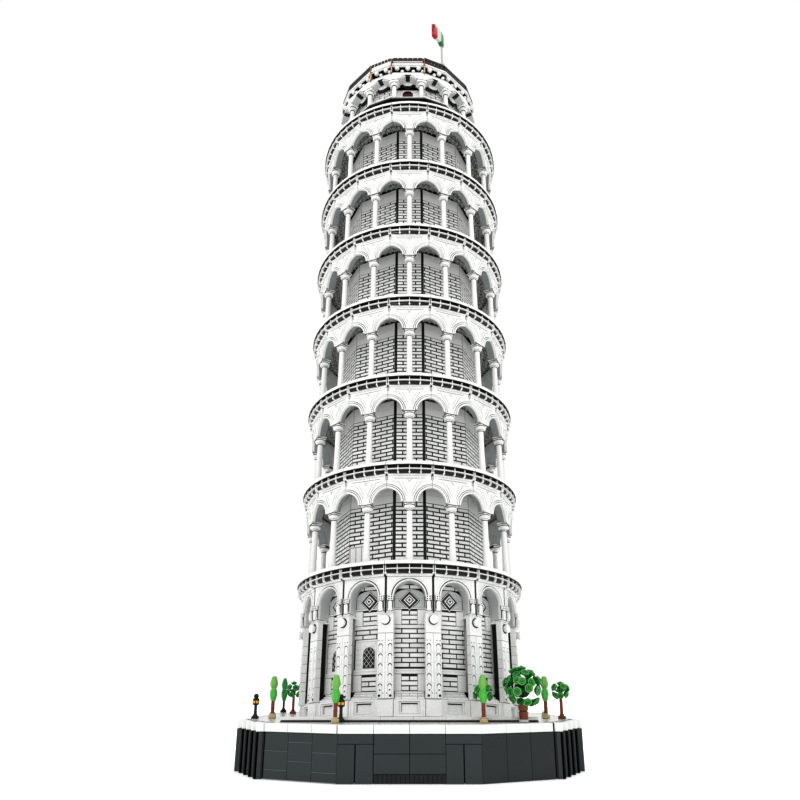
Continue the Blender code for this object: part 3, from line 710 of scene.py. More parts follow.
def pilaster(shape, place):
    """Sixteen wide, of stacked pairs of fluted bricks, under a cap with a round disc."""
    # Painted shade: the near-black strip between the two halves, the dark line under the cap and the dark
    # ring round the disc.
    blocks(shape, place, [
        (-1.8, 1.8, 9.7, 91.5, 4.0, 14.3, "gap_shade_and_black", 0.0),
        (-8.0, 8.0, 72.3, 91.6, 0.0, 6.4, "white", 0.3),
        (-7.0, 7.0, 90.4, 92.3, -0.5, 15.0, "white", 0.3),
        (-7.6, 7.6, 71.8, 72.45, 0.5, 6.0, "gap_shade_and_black", 0.0),
    ])
    disc = place @ Matrix.Translation((0, 0.05, 85.2)) @ Matrix.Rotation(math.pi / 2, 4, "X")
    lathe(shape, disc, [(5.05, 0), (5.05, 0.14)], 28, "gap_shade_and_black")
    lathe(shape, disc, [(3.6, 0), (3.6, 2.4), (4.5, 2.5), (4.6, 4.2), (4.2, 4.6)], 28, "white")
    for dot in range(10):
        x = -7.2 + 1.6 * dot
        block(shape, place, x - 0.22, x + 0.22, 71.9, 72.5, -0.05, 0.5, "grey", 0.0)
    for side in (-1, 1):
        x0, x1 = sorted((side * 0.12, side * 8.0))
        block(shape, place, x0, x1, 62.6, 72.0, 0.0, 6.4, "white", 0.2)
        for dx in (-1.6, 1.6):
            spot = place @ Matrix.Translation((side * 5.0 + dx, -0.02, 64.8))
            lathe(shape, spot @ Matrix.Rotation(math.pi / 2, 4, "X"), [(0.55, 0), (0.5, 0.06)], 8, "gap_shade_and_black")
        for course in range(5):
            low = 14.7 + 9.6 * course
            if course == 0:
                low = 9.6
            fluted_brick(shape, place, x0, x1, side * 4.9, low, 24.2 + 9.6 * course)
        foot_spots(shape, place, side)


def fluted_brick(shape, place, x0, x1, middle, low, high):
    """A brick whose face holds one round-headed flute with a raised lip."""
    block(shape, place, x0, x1, low, high - 0.25, 0.9, 6.4, "white", 0.1)
    edge = 2.35
    springing = high - 3.0
    arc = [(middle - edge * math.cos(a), springing + edge * math.sin(a)) for a in HALF_TURN[::2]]
    left = [(x0, low), (middle - edge, low)] + arc[:6] + [(middle, high), (x0, high)]
    right = [(x1, high), (middle, high)] + arc[5:] + [(middle + edge, low), (x1, low)]
    plate(shape, place, left, 0.0, 1.0, "white", 0.0)
    plate(shape, place, right, 0.0, 1.0, "white", 0.0)
    inner = [(middle - 1.55 * math.cos(a), springing + 1.55 * math.sin(a)) for a in HALF_TURN[::2]]
    outline = [(middle + 1.55, low)] + inner[::-1] + [(middle - 1.55, low)]
    plate(shape, place, outline, 0.15, 1.0, "white", 0.15)
    # Painted shade: the flute's groove is near-black.
    points = [(x, 0.86, z) for x, z in arc] + [(x, 0.86, z) for x, z in inner]
    faces = [(s, s + 11, s + 12, s + 1) for s in range(10)]
    shape.add(place, points, faces, "gap_shade_and_black")


def foot_spots(shape, place, side):
    for x, z, radius in ((4.9, 17.4, 0.75), (5.6, 12.2, 1.25), (1.9, 14.6, 0.5)):
        spot = place @ Matrix.Translation((side * x, -0.05, z))
        outward = spot @ Matrix.Rotation(math.pi / 2, 4, "X")
        lathe(shape, outward, [(radius, 0), (radius - 0.1, 0.08)], 10, "black")


def make_ground_wall():
    shape = Shape()
    # Painted shade: a near-black ring behind the masonry shows through its joints.
    ring(shape, bay_plan, [(107.45, 17.7), (107.45, 129.3), (101, 129.3), (101, 17.7)], "gap_shade_and_black")
    for index in range(BAYS):
        place = bay(TURN * index, GROUND_WALL)
        half = 17.6
        wall_end = 21.4
        windowed = index in (14, 15)
        for side in (-1, 1):
            for low, high in ((17.7, 33.8), (83.0, 98.3)):
                x0, x1 = sorted((side * 8.3, side * half))
                block(shape, place, x0, x1, low, high, -1.4, 1.2, "white", 0.35)
            x0, x1 = sorted((side * half, side * wall_end))
            block(shape, place, x0 + 0.3, x1 - 0.1, 17.7, 129.2, 0.4, 1.2, "white", 0.0)
        masonry(shape, place, -8.0, 8.0, 17.9, 3, 0.0, 1.2, shift=index)
        masonry(shape, place, -8.0, 8.0, 83.2, 3, 0.0, 1.2, shift=index)
        blocks(shape, place, [
            (-half, half, 34.2, 38.0, -1.2, 1.2, "white", 0.3),
            (-half, half, 37.0, 38.9, -1.9, 0.0, "white", 0.25),
            (-half, half, 79.2, 82.7, -1.0, 1.2, "white", 0.3),
        ])
        if windowed:
            window_surround(shape, place)
        else:
            masonry(shape, place, -half, half, 40.4, 6, 0.0, 1.2, shift=index)
        masonry(shape, place, -half, half, 69.2, 2, 0.0, 1.2, shift=index)
        block(shape, place, -half, half, 98.9, 100.2, -1.5, 1.2, "white", 0.25)
        # Painted shade: a near-black strip under the ledge.
        block(shape, place, -half, half, 98.2, 98.9, -0.7, 1.2, "gap_shade_and_black", 0.0)
        tympanum(shape, place)
        masonry(shape, place, -half, half, 120.0, 2, 0.0, 1.2, shift=index)
        lozenge(shape, place)
    shape.make("ground_masonry", "ground_wall")


def tympanum(shape, place):
    """The smooth field under an arch, with rounded shoulders."""
    outline = [(-15.9, 100.5), (15.9, 100.5), (15.9, 112.0)]
    outline += [(15.9 * math.cos(a), 112.0 + 7.8 * math.sin(a)) for a in HALF_TURN[1:20]]
    outline += [(-15.9, 112.0)]
    # Painted shade: the field is stone grey on the white plastic.
    plate(shape, place, outline, -0.7, 1.2, "stone", 0.3)
    block(shape, place, -15.9, 15.9, 109.5, 109.9, -0.75, 0.0, "grey", 0.0)


def lozenge(shape, place):
    """Nested squares that stand on a corner."""
    centre = 107.6
    steps = [
        (11.2, -1.0, "black"), (10.4, -1.9, "white"), (9.5, -2.1, "black"), (6.3, -3.0, "white"),
        (4.8, -3.2, "black"), (3.3, -4.0, "white"), (1.6, -4.2, "black"),
    ]  # fmt: skip
    for reach, front, finish in steps:
        outline = [(0, centre - reach), (reach, centre), (0, centre + reach), (-reach, centre)]
        plate(shape, place, outline, front, 0.0, finish, 0.25)


def window_surround(shape, place):
    blocks(shape, place, [
        (-15.9, -7.2, 38.4, 66.9, -0.6, 1.2, "white", 0.25),
        (7.2, 15.9, 38.4, 66.9, -0.6, 1.2, "white", 0.25),
        (-7.3, 7.3, 62.3, 66.9, -0.6, 1.2, "white", 0.2),
        (-8.4, 8.4, 38.4, 40.0, -1.4, 1.2, "white", 0.25),
    ])
    # Painted shade: thin grey lines along the seams of the side panels.
    for low in (44.0, 49.0, 54.0, 59.0):
        for side in (-1, 1):
            x0, x1 = sorted((side * 9.0, side * 15.8))
            block(shape, place, x0, x1, low, low + 0.25, -0.66, 0.0, "grey", 0.0)
    block(shape, place, -15.9, 15.9, 67.1, 69.0, -0.4, 1.2, "white", 0.2)
    frame_outline = window_outline(7.5, 39.8)
    plate(shape, place, frame_outline, -0.9, 1.0, "white", 0.3)
    block(shape, place, -7.3, 7.3, 53.0, 62.4, -0.2, 1.1, "white", 0.0)


def window_outline(half, sill):
    outline = [(-half, sill), (half, sill)]
    outline += [(half * math.cos(a), 54.3 + half * 1.05 * math.sin(a)) for a in HALF_TURN]
    return outline


def make_window(name, node, angle):
    """A black pane under a lattice of thin white bars."""
    shape = Shape()
    place = bay(angle, GROUND_WALL)
    plate(shape, place, window_outline(6.5, 40.3), -1.35, -0.3, "black", 0.15)
    slope = math.radians(50)
    for step in range(-6, 7):
        for lean in (-1, 1):
            lattice_bar(shape, place, step * 4.7, lean, slope)
    shape.make(name, node)


def lattice_bar(shape, place, offset, lean, slope):
    """One slanting bar, cut off at the window's edge."""
    inside = []
    for step in range(-60, 61):
        reach = step * 0.35
        x = offset + lean * reach * math.cos(slope)
        z = 50.5 + reach * math.sin(slope)
        if abs(x) < 6.0 and 40.9 < z and (z < 54.3 or math.hypot(x, (z - 54.3) / 1.05) < 6.0):
            inside.append((x, z))
    if len(inside) < 4:
        return
    (x0, z0), (x1, z1) = inside[0], inside[-1]
    along = Vector((x1 - x0, z1 - z0)).normalized()
    across = Vector((-along.y, along.x)) * 0.14
    outline = [
        (x0 + across.x, z0 + across.y), (x0 - across.x, z0 - across.y),
        (x1 - across.x, z1 - across.y), (x1 + across.x, z1 + across.y),
    ]  # fmt: skip
    plate(shape, place, outline, -1.62, -1.2, "white", 0.0)


# ---------------------------------------------------------------- foot of the tower
def make_foot():
    lower = Shape()
    square = [(-124, -124), (124, -124), (124, 124), (-124, 124)]
    slab(lower, TOWER, square, -13.6, -10.5, "black", 0.2)
    lower.make("slab_lower", "foot_slab_lower")
    upper = Shape()
    edges = [-124, -92, -60, -28, 4, 36, 68, 100, 124]
    for left, right in zip(edges, edges[1:]):
        for near, far in zip(edges, edges[1:]):
            x0, x1, y0, y1 = left + 0.1, right - 0.1, near + 0.1, far - 0.1
            tile = [(x0, y0), (x1, y0), (x1, y1), (x0, y1)]
            slab(upper, TOWER, tile, -10.2, -7.2, "white", 0.25)
    upper.make("slab_upper", "foot_slab_upper")
    make_plinth()
    make_ledges()


def make_plinth():
    shape = Shape()
    # Painted shade: a near-black ring behind the blocks.
    ring(shape, bay_plan, [(115.4, -6.9), (115.4, 9.0), (101, 9.0), (101, -6.9)], "gap_shade_and_black")
    for index in range(BAYS):
        place = bay(TURN * (index + 0.5), 123.3)
        blocks(shape, place, [
            (-8.0, 8.0, -6.8, 9.1, 0.0, 12.0, "white", 0.35),
            (-10.2, -8.3, -6.8, 9.1, 2.0, 12.0, "white", 0.2),
            (8.3, 10.2, -6.8, 9.1, 2.0, 12.0, "white", 0.2),
        ])
        panel = bay(TURN * index, 119.6)
        block(shape, panel, -13.6, 13.6, -6.8, -4.2, 0.0, 6.0, "white", 0.25)
        block(shape, panel, -13.6, 13.6, 7.2, 9.1, 0.0, 6.0, "white", 0.25)
        for side in (-1, 1):
            x0, x1 = sorted((side * 10.3, side * 13.6))
            block(shape, panel, x0, x1, -4.2, 7.2, 0.0, 6.0, "white", 0.25)
            x0, x1 = sorted((side * 8.4, side * 10.1))
            block(shape, panel, x0, x1, -4.0, 7.0, 0.9, 6.0, "white", 0.2)
        # Painted shade: a near-black backing in each panel's recess.
        blocks(shape, panel, [
            (-8.3, 8.3, -4.0, -2.6, 0.9, 6.0, "white", 0.2),
            (-8.3, 8.3, 5.8, 7.0, 0.9, 6.0, "white", 0.2),
            (-8.2, 8.2, -2.6, 5.8, 3.4, 6.0, "white", 0.1),
            (-10.3, 10.3, -4.5, 7.5, 3.6, 6.0, "gap_shade_and_black", 0.0),
        ])
        # Painted shadow: dark strips along the recess's top and left edges.
        seam_line(shape, panel, (-8.0, 5.3), (8.0, 5.3), 3.3, 1.1, "gap_shade_and_black")
        seam_line(shape, panel, (-7.7, -2.5), (-7.7, 5.7), 3.3, 0.6, "grey")
    shape.make("plinth_panels", "plinth_course")


def make_ledges():
    shape = Shape()
    # Painted shade: a near-black ring behind the rows, and a near-black strip under each row.
    ring(shape, bay_plan, [(108.0, 9.3), (108.0, 17.2), (101, 17.2), (101, 9.3)], "gap_shade_and_black")
    rows = [(117.5, 9.4, 11.5), (115.0, 11.9, 12.9), (112.5, 13.2, 15.1), (110.2, 15.5, 17.3)]
    for index in range(BAYS):
        for number, (apothem, low, high) in enumerate(rows):
            place = bay(TURN * index, apothem)
            block(shape, place, -15.5, 15.5, low - 0.4, low, 0.8, 9.0, "gap_shade_and_black", 0.0)
            cuts = {0: (-15.0, -8.0, 8.0, 15.0), 2: (-15.0, -8.0, 0.0, 8.0, 15.0)}.get(number, (-15.0, 15.0))
            for left, right in zip(cuts, cuts[1:]):
                block(shape, place, left + 0.15, right - 0.15, low, high, 0.0, 9.0, "white", 0.22)
    shape.make("ledge_tiles", "ledge_course")


# ---------------------------------------------------------------- crown
def crown_sides():
    """(angle, half width over radius, apothem over radius, wide or not) of the crown's sides."""
    for index in range(BAYS):
        half = math.radians(13.5 if index % 2 == 0 else 9.0)
        yield TURN * index, math.sin(half), math.cos(half), index % 2 == 0


def make_crown():
    drum = Shape(CROWN)
    # Painted shade: the drum and its bricks are black, standing for the shadow in the recess under the
    # crown's ledge.
    ring(drum, crown_plan, [(DRUM_RADIUS, 817.1), (DRUM_RADIUS, 854.6), (90, 854.6), (90, 817.1)], "black")
    for angle, half, apothem, _ in crown_sides():
        place = bay(angle, DRUM_RADIUS * apothem)
        edge = DRUM_RADIUS * half - 0.4
        for low in (818.0, 827.6, 837.2, 846.8):
            block(drum, place, -edge, edge, low, low + 7.1, -1.0, 0.5, "black", 0.3)
        for tooth in range(3):
            across = (tooth - 1) * edge * 0.62
            block(drum, place, across - 3.4, across + 3.4, 849.8, 853.6, -1.9, 0.0, "black", 0.3)
    drum.make("crown_drum_bricks", "crown_drum")
    ledge = Shape(CROWN)
    # Painted shade: a black ring under the ledge's tiles.
    ring(ledge, crown_plan, [(107.6, 854.9), (107.6, 857.5), (78, 857.5), (78, 854.9)], "black")
    for angle, half, apothem, _ in crown_sides():
        place = bay(angle, LEDGE_RADIUS * apothem)
        edge = LEDGE_RADIUS * half - 0.3
        block(ledge, place, -edge, edge, 857.7, 859.0, 0.0, 9.0, "white", 0.3)
    ring(ledge, crown_plan, [(100, 857.5), (100, 858.9), (78, 858.9), (78, 857.5)], "white")
    ledge.make("crown_ledge_tiles", "crown_ledge")
    make_crown_wall()
    make_crown_arcade()
    make_parapet()
    make_crown_rail()
    deck = Shape(CROWN)
    plan = [(x, y) for x, y in crown_plan(95.2)]
    slab(deck, TOWER, plan, 922.6, 924.9, "grey", 0.2)
    tiles = [-88 + 16 * step for step in range(12)]
    for x in tiles:
        for y in tiles:
            corners = [(x, y), (x + 16, y), (x + 16, y + 16), (x, y + 16)]
            if max(math.hypot(*corner) for corner in corners) < 92:
                inner = inset(corners, 0.1)
                slab(deck, TOWER, inner, 924.8, 925.7, "paving", 0.2, False)
    deck.make("crown_deck_tiles", "crown_deck")


def make_crown_wall():
    shape = Shape(CROWN)
    # Painted shade: a near-black ring behind the masonry shows through its joints.
    ring(shape, crown_plan, [(91.6, 859.2), (91.6, 909), (85, 909), (85, 859.2)], "gap_shade_and_black")
    for number, (angle, half, apothem, _) in enumerate(crown_sides()):
        place = bay(angle, BELL_WALL_RADIUS * apothem)
        edge = BELL_WALL_RADIUS * half - 0.2
        if number == 0:
            crown_doorway(shape, place, edge)
        else:
            masonry(shape, place, -edge, edge, 859.4, 8, 0.0, 1.6, gap=1.3)
            block(shape, place, -edge, edge, 898.0, 909.0, 0.0, 1.6, "wall", 0.2)
        oval = place @ Matrix.Translation((0, -5.5, 896.8)) @ Matrix.Rotation(math.pi / 2, 4, "X")
        oval = oval @ Matrix.Diagonal((1.0, 0.55, 1.0, 1.0))
        lathe(shape, oval, [(9.6, -4.0), (9.6, 0.6), (8.6, 0.6)], 28, "black")
        lathe(shape, oval, [(7.6, 0.5), (7.6, 1.6), (7.0, 2.1), (3.6, 2.3)], 28, "white")
    shape.make("crown_masonry", "crown_wall")


def crown_doorway(shape, place, edge):
    """The front side of the wall: a white panel with a dark arched opening."""
    for side in (-1, 1):
        x0, x1 = sorted((side * 7.6, side * 17.0))
        block(shape, place, x0, x1, 859.3, 890.0, -0.8, 1.6, "white", 0.3)
        x0, x1 = sorted((side * 19.0, side * edge))
        block(shape, place, x0, x1, 859.3, 890.0, 0.0, 1.6, "white", 0.3)
    points = []
    for a in HALF_TURN:
        points.append((-7.4 * math.cos(a), -0.8, 881.0 + 7.4 * math.sin(a)))
        points.append((-7.6 * math.cos(a), -0.8, 890.0))
    faces = [(2 * s, 2 * s + 2, 2 * s + 3, 2 * s + 1) for s in range(20)]
    shape.add(place, points, faces, "white")
    outline = [(-7.4, 859.3), (7.4, 859.3)]
    outline += [(7.4 * math.cos(a), 881.0 + 7.4 * math.sin(a)) for a in HALF_TURN]
    # Painted shade: the opening's back is a dark plate.
    plate(shape, place, outline, 1.3, 1.6, "dim", 0.0)
    for low in (870.5, 873.5, 876.5, 879.5, 882.5):
        block(shape, place, -7.2, 7.2, low, low + 0.9, 0.9, 1.4, "brown", 0.1)


def make_crown_arcade():
    """Columns at the bays' corners, and a gabled opening in each bay."""
    shape = Shape(CROWN)
    column = [
        (4.3, 859.3), (4.3, 860.8), (3.6, 861.4), (3.4, 884.5), (4.6, 886.0), (6.0, 886.6),
        (6.0, 888.6), (5.0, 889.2),
    ]  # fmt: skip
    for index in range(BAYS):
        corner = TURN * (index + 0.5)
        spot = bay(corner, 102.6)
        lathe(shape, spot, column, 20, "white")
        # Painted shade: dark rings round the shaft's foot, under and over the capital, and a dark strip over
        # the cap block.
        lathe(shape, spot, [(5.6, 888.9), (5.6, 890.3)], 20, "gap_shade_and_black")
        lathe(shape, spot, [(3.9, 884.0), (3.9, 885.0)], 20, "gap_shade_and_black")
        lathe(shape, spot, [(4.1, 860.8), (4.1, 861.5)], 20, "gap_shade_and_black")
        cap = bay(corner, 108.4)
        block(shape, cap, -7.4, 7.4, 890.2, 894.2, 0.0, 11.5, "white", 0.4, True)
        block(shape, cap, -8.4, 8.4, 894.2, 895.1, 0.6, 11.0, "gap_shade_and_black", 0.0)
        place = bay(TURN * index, GABLE_REACH)
        half = GABLE_REACH * TAN
        gable(shape, place, half)
    shape.make("crown_columns", "crown_arcade")


def gable(shape, place, half):
    """A bay's upper wall, cut by a steep opening with grey slopes and a dark square apex."""
    for side in (-1, 1):
        outer = side * half
        wing = [(outer, 895.0), (side * 12.8, 895.0), (side * 4.0, 901.2)]
        wing += [(side * 4.0, 909.4), (outer, 909.4)]
        lip = [(side * 14.4, 893.9), (side * 11.0, 892.6), (side * 3.0, 898.8), (side * 5.0, 901.4)]
        edge = [(side * 15.4, 893.8), (side * 14.3, 893.3), (side * 4.8, 900.9), (side * 5.8, 901.8)]
        if side > 0:
            wing, lip, edge = wing[::-1], lip[::-1], edge[::-1]
        plate(shape, place, wing, 0.0, 9.0, "white", 0.3)
        plate(shape, place, lip, -1.6, 9.5, "stone", 0.3)
        # Painted shade: a dark edge beside each sloping lip.
        plate(shape, place, edge, -0.9, 6.0, "gap_shade_and_black", 0.0)
    blocks(shape, place, [
        (-4.9, 4.9, 898.8, 903.6, -0.5, 6.0, "black", 0.2),
        (-1.8, 1.8, 899.8, 902.8, -0.9, 0.0, "gap_shade_and_black", 0.3),
        (-4.4, 4.4, 904.0, 909.4, 0.0, 6.0, "white", 0.2),
    ])
    # Painted shade: a dark seam line across the bay.
    seam_line(shape, place, (-half, 908.5), (half, 908.5), -0.04, 0.4)


def make_parapet():
    shape = Shape(CROWN)
    ring(shape, crown_plan, [(102.2, 909.8), (102.2, 928.2), (96.2, 928.2), (96.2, 909.8)], "black")
    ring(shape, crown_plan, [(108.0, 909.5), (108.0, 910.6), (99, 910.6), (99, 909.5)], "white")
    ring(shape, crown_plan, [(106.5, 910.7), (106.5, 911.3), (99, 911.3), (99, 910.7)], "black")
    for angle, _, apothem, wide in crown_sides():
        place = bay(angle, 103.5 * apothem)
        large = (-16.5, 0.0, 16.5) if wide else (-7.8, 7.8)
        small = (-8.3, 8.3, 22.5) if wide else (-0.4, 14.0)
        for across in large:
            spot = place @ Matrix.Translation((across, -2.2, 923.0))
            ball(shape, spot, 3.9, 18, "white", 1.0)
            lathe(shape, spot, [(2.0, 3.4), (2.0, 4.6)], 14, "white")
        for across in small:
            spot = place @ Matrix.Translation((across, -2.6, 915.6))
            ball(shape, spot, 2.9, 14, "white", 0.9)
    shape.make("crown_beads", "crown_parapet")


def make_crown_rail():
    """The white rail, the battlement over it, and the tan posts at the front's corners."""
    rail = Shape(CROWN_TOP)
    top = Shape(CROWN_TOP)
    ring(rail, crown_plan, [(107, 928.4), (107, 933.6), (98.2, 933.6), (98.2, 928.4)], "black")
    ring(top, crown_plan, [(106.5, 934.2), (106.5, 949.0), (97.2, 949.0), (97.2, 934.2)], "black")
    for number, (angle, half, apothem, _) in enumerate(crown_sides()):
        place = bay(angle, RAIL_RADIUS * apothem)
        edge = RAIL_RADIUS * half
        block(rail, place, -edge + 0.9, edge - 0.9, 928.9, 930.3, 1.2, 5.0, "white", 0.3)
        block(rail, place, -edge + 0.4, edge - 0.4, 931.2, 933.8, 0.0, 6.0, "white", 0.3)
        inner = BATTLEMENT_RADIUS * half - 0.6
        near = bay(angle, BATTLEMENT_RADIUS * apothem)
        if number == 0:
            block(top, near, -inner + 2, inner - 2, 936.0, 938.4, 0.3, 4.0, "stone", 0.3)
            block(top, near, -inner + 2, inner - 2, 939.4, 941.8, 0.0, 4.0, "stone", 0.3)
            dashes(top, near, inner - 2, "rust")
        elif number == 15:
            block(top, near, -inner, inner, 936.0, 941.6, 0.0, 4.0, "white", 0.3)
            dashes(top, near, inner, "white")
        else:
            blocks(top, near, [
                (-inner, inner, 935.2, 940.6, 0.0, 4.0, "black", 0.35),
                (-inner + 0.6, inner - 0.6, 941.0, 944.8, 0.4, 4.0, "black", 0.6),
                (-inner, inner, 945.2, 949.8, 0.0, 4.0, "black", 0.5),
            ])
            if number in (1, 2):
                for step in range(5):
                    across = (step - 2) * inner * 0.36
                    block(top, near, across - 0.8, across + 0.8, 942.4, 943.1, 0.0, 1.0, "tan", 0.1)
        if number in (0, 15):
            for side in (-1, 1) if number == 0 else (-1,):
                post = bay(angle, 110.6 * apothem) @ Matrix.Translation((side * (edge - 0.9), 0.2, 0))
                block(top, post, -0.9, 0.9, 911.0, 943.5, 0.0, 6.0, "rust", 0.3, True)
                block(top, post, -0.3, 1.2, 914.0, 927.0, -0.4, 3.0, "tan", 0.3, True)
        corner = bay(angle, 108.4 * apothem) @ Matrix.Translation((108.4 * half, 1.0, 0))
        block(top, corner, -2.0, 2.0, 911.5, 941.0, 0.4, 5.0, "black", 0.2)
    rail.make("crown_rail_tiles", "crown_rail")
    top.make("crown_battlement_bricks", "crown_battlement")


def dashes(shape, place, reach, finish):
    """A row of dark tiles with light joints along the battlement's top."""
    count = 6
    step = 2 * reach / count
    for index in range(count):
        left = -reach + step * index
        block(shape, place, left + 0.6, left + step - 0.6, 943.6, 948.6, -0.2, 5.0, "black", 0.4)
    block(shape, place, -reach, reach, 943.2, 947.8, 0.8, 5.0, finish, 0.2)
    block(shape, place, -reach, reach, 947.9, 949.8, 1.4, 5.0, "stone", 0.4)


# ---------------------------------------------------------------- flag
MAST = TOWER @ Matrix.Translation((51.3, -87.6, 0))


def make_flag():
    mast = Shape()
    foot = [(4.0, 945.7), (4.0, 953.4), (2.6, 953.6), (2.6, 955.6)]
    foot += [(1.6, 955.8), (1.6, 1028.2), (1.2, 1028.7)]
    lathe(mast, MAST, foot, 24, "steel")
    mast.make("flag_pole", "flag_mast")
    flag = Shape()
    place = MAST @ Matrix.Rotation(math.radians(235), 4, "Z")
    # Painted shade: the white stripe is a light grey.
    stripes = [(-3.5, 8.2, "flag_green"), (8.2, 16.2, "flag_white"), (16.2, 24.0, "flag_red")]
    for start, end, finish in stripes:
        flag_stripe(flag, place, start, end, finish)
    end_place = place @ Matrix.Rotation(math.pi / 2, 4, "Z") @ Matrix.Translation((0, -24.05, 0))
    for centre, bend in ((1015.6, 0.9), (1009.2, -0.8)):
        outline = []
        for step in range(16):
            a = 2 * math.pi * step / 16
            outline.append((bend + 1.5 * math.cos(a), centre + 3.3 * math.sin(a)))
        plate(flag, end_place, outline, -0.06, 0.4, "black", 0.0)
    flag.make("flag_cloth_bricks", "flag", "flag")


def flag_stripe(shape, place, start, end, finish):
    """One stripe of the stiff flag, with a soft wave and rounded upright edges."""
    steps = 8
    rounds = [(0.0, 0.6), (0.8, 0.9), (2.0, 1.0), (23.5, 1.0), (24.7, 0.9), (25.4, 0.6)]
    loops = []
    for rise, thick in rounds:
        near, far = [], []
        for step in range(steps + 1):
            x = start + (end - start) * step / steps
            sway = 1.0 * math.sin(2 * math.pi * max(x - 3.6, 0) / 20.4)
            half = 3.7
            if x < 0:
                half = max(3.7 * (1 - (x / 3.5) ** 2) ** 0.5, 0.3)
            if x > 22.0:
                half = 3.7 - 0.4 * (x - 22.0)
            near.append((x, sway - half * thick, 998.1 + rise))
            far.append((x, sway + half * thick, 996.1 + rise))
        loops.append(near + far[::-1])
    points, faces = spread_loops(loops, True)
    shape.add(place, points, faces, finish)


# ---------------------------------------------------------------- base
FRONT_POINTS = [(64, -200), (136, -164), (144, -164), (144, -148), (152, -148), (152, -132), (160, -132),
                (160, -116), (168, -116), (168, -100), (176, -100)]  # fmt: skip


def base_outline():
    right = FRONT_POINTS + [(x, -y) for x, y in reversed(FRONT_POINTS)]
    return right + [(-x, y) for x, y in reversed(right)]


def face_frame(start, end, height=0.0):
    """Local frame of an upright base face seen from outside: x from start to end."""
    along = Vector((end[0] - start[0], end[1] - start[1]))
    angle = math.atan2(along.y, along.x)
    place = Matrix.Translation((start[0], start[1], height)) @ Matrix.Rotation(angle, 4, "Z")
    return place, along.length


def make_base():
    wall = Shape()
    rim = Shape()
    outline = base_outline()
    count = len(outline)
    for index, start in enumerate(outline):
        end = outline[(index + 1) % count]
        place, length = face_frame(start, end)
        base_face(wall, place, length, start, end)
        rim_face(rim, place, length)
    inner = [(x * 0.976, y * 0.979) for x, y in outline]
    loops = [[(x, y, 0.3) for x, y in inner], [(x, y, 40.0) for x, y in inner]]
    points = [point for loop in loops for point in loop]
    faces = [(i, (i + 1) % count, count + (i + 1) % count, count + i) for i in range(count)]
    wall.add(Matrix.Identity(4), points, faces, "black")
    wall.make("base_panels", "base_walls")
    points, faces = spread_loops([[(x, y, 40.4) for x, y in inner], [(x, y, 47.6) for x, y in inner]], False)
    rim.add(Matrix.Identity(4), points, faces[:-1], "gap_shade_and_black")
    rim.make("base_rim_tiles", "base_rim")
    make_front_panel()
    make_paving()


def base_face(shape, place, length, start, end):
    """One upright face of the dark wall, split into its tiles."""
    top = 39.9
    if length > 150:
        count = round(length / 32)
        for column in range(count):
            x0 = length * column / count
            x1 = length * (column + 1) / count
            block(shape, place, x0 + 0.08, x1 - 0.08, 20.1, top, 0.0, 3.5, "dark", 0.25)
            block(shape, place, x0 + 0.08, x1 - 0.08, 0.0, 19.9, 0.0, 3.5, "dark", 0.25)
        return
    if length > 100:
        for x0, x1 in ((0, 32), (length - 32, length)):
            flank_column(shape, place, x0, x1, top)
        return
    if length > 60:
        slanted_face(shape, place, length, start, end, top)
        return
    block(shape, place, 0.0, length, 0.0, top, 0.9, 3.0, "black", 0.0)
    finish = "black" if length > 10 else "dark"
    block(shape, place, 0.9, length - 0.9, 0.0, top, 0.0, 2.0, finish, 0.3)


def flank_column(shape, place, x0, x1, top):
    """A band over two upright panels with a dark slit between them."""
    block(shape, place, x0 + 0.1, x1 - 0.1, 32.1, top, 0.0, 3.5, "dark", 0.25)
    middle = (x0 + x1) / 2
    block(shape, place, x0 + 0.1, middle - 0.4, 0.0, 31.9, 0.0, 3.5, "dark", 0.3)
    block(shape, place, middle + 0.4, x1 - 0.1, 0.0, 31.9, 0.0, 3.5, "dark", 0.3)


def slanted_face(shape, place, length, start, end, top):
    """Three tile columns between dark gaps: on the left side, shelves with painted highlights along their
    edges; on the right side, a darker copy of the dark plastic as painted shade.
    """
    outward_left = min(start[0], end[0]) < 0
    near_first = start[0] * end[0] != 0 and abs(start[0]) < abs(end[0])
    gap = 1.5
    low_x = 0.0 if near_first else gap
    width = (length - gap) / 3
    splits = [(16, 16, 8), (8, 16, 16), (16, 16, 8)]
    for column in range(3):
        x0 = low_x + width * column
        x1 = x0 + width
        order = column if near_first else 2 - column
        if not outward_left:
            # Painted shade: the right side's tiles take the darker copy.
            block(shape, place, x0 + 0.1, x1 - 0.1, 0.0, top, 0.0, 3.5, "deep", 0.25)
            continue
        high = top
        for tall in splits[order]:
            low = max(high - tall, 0.0)
            # Painted highlight: a lighter strip along each shelf's edge.
            block(shape, place, x0 + 0.1, x1 - 0.1, low + 0.45, high, 0.0, 3.5, "dark", 0.2)
            if low > 1:
                block(shape, place, x0 + 0.1, x1 - 0.1, low - 0.05, low + 0.5, -0.02, 3.0, "edge", 0.1)
            high = low


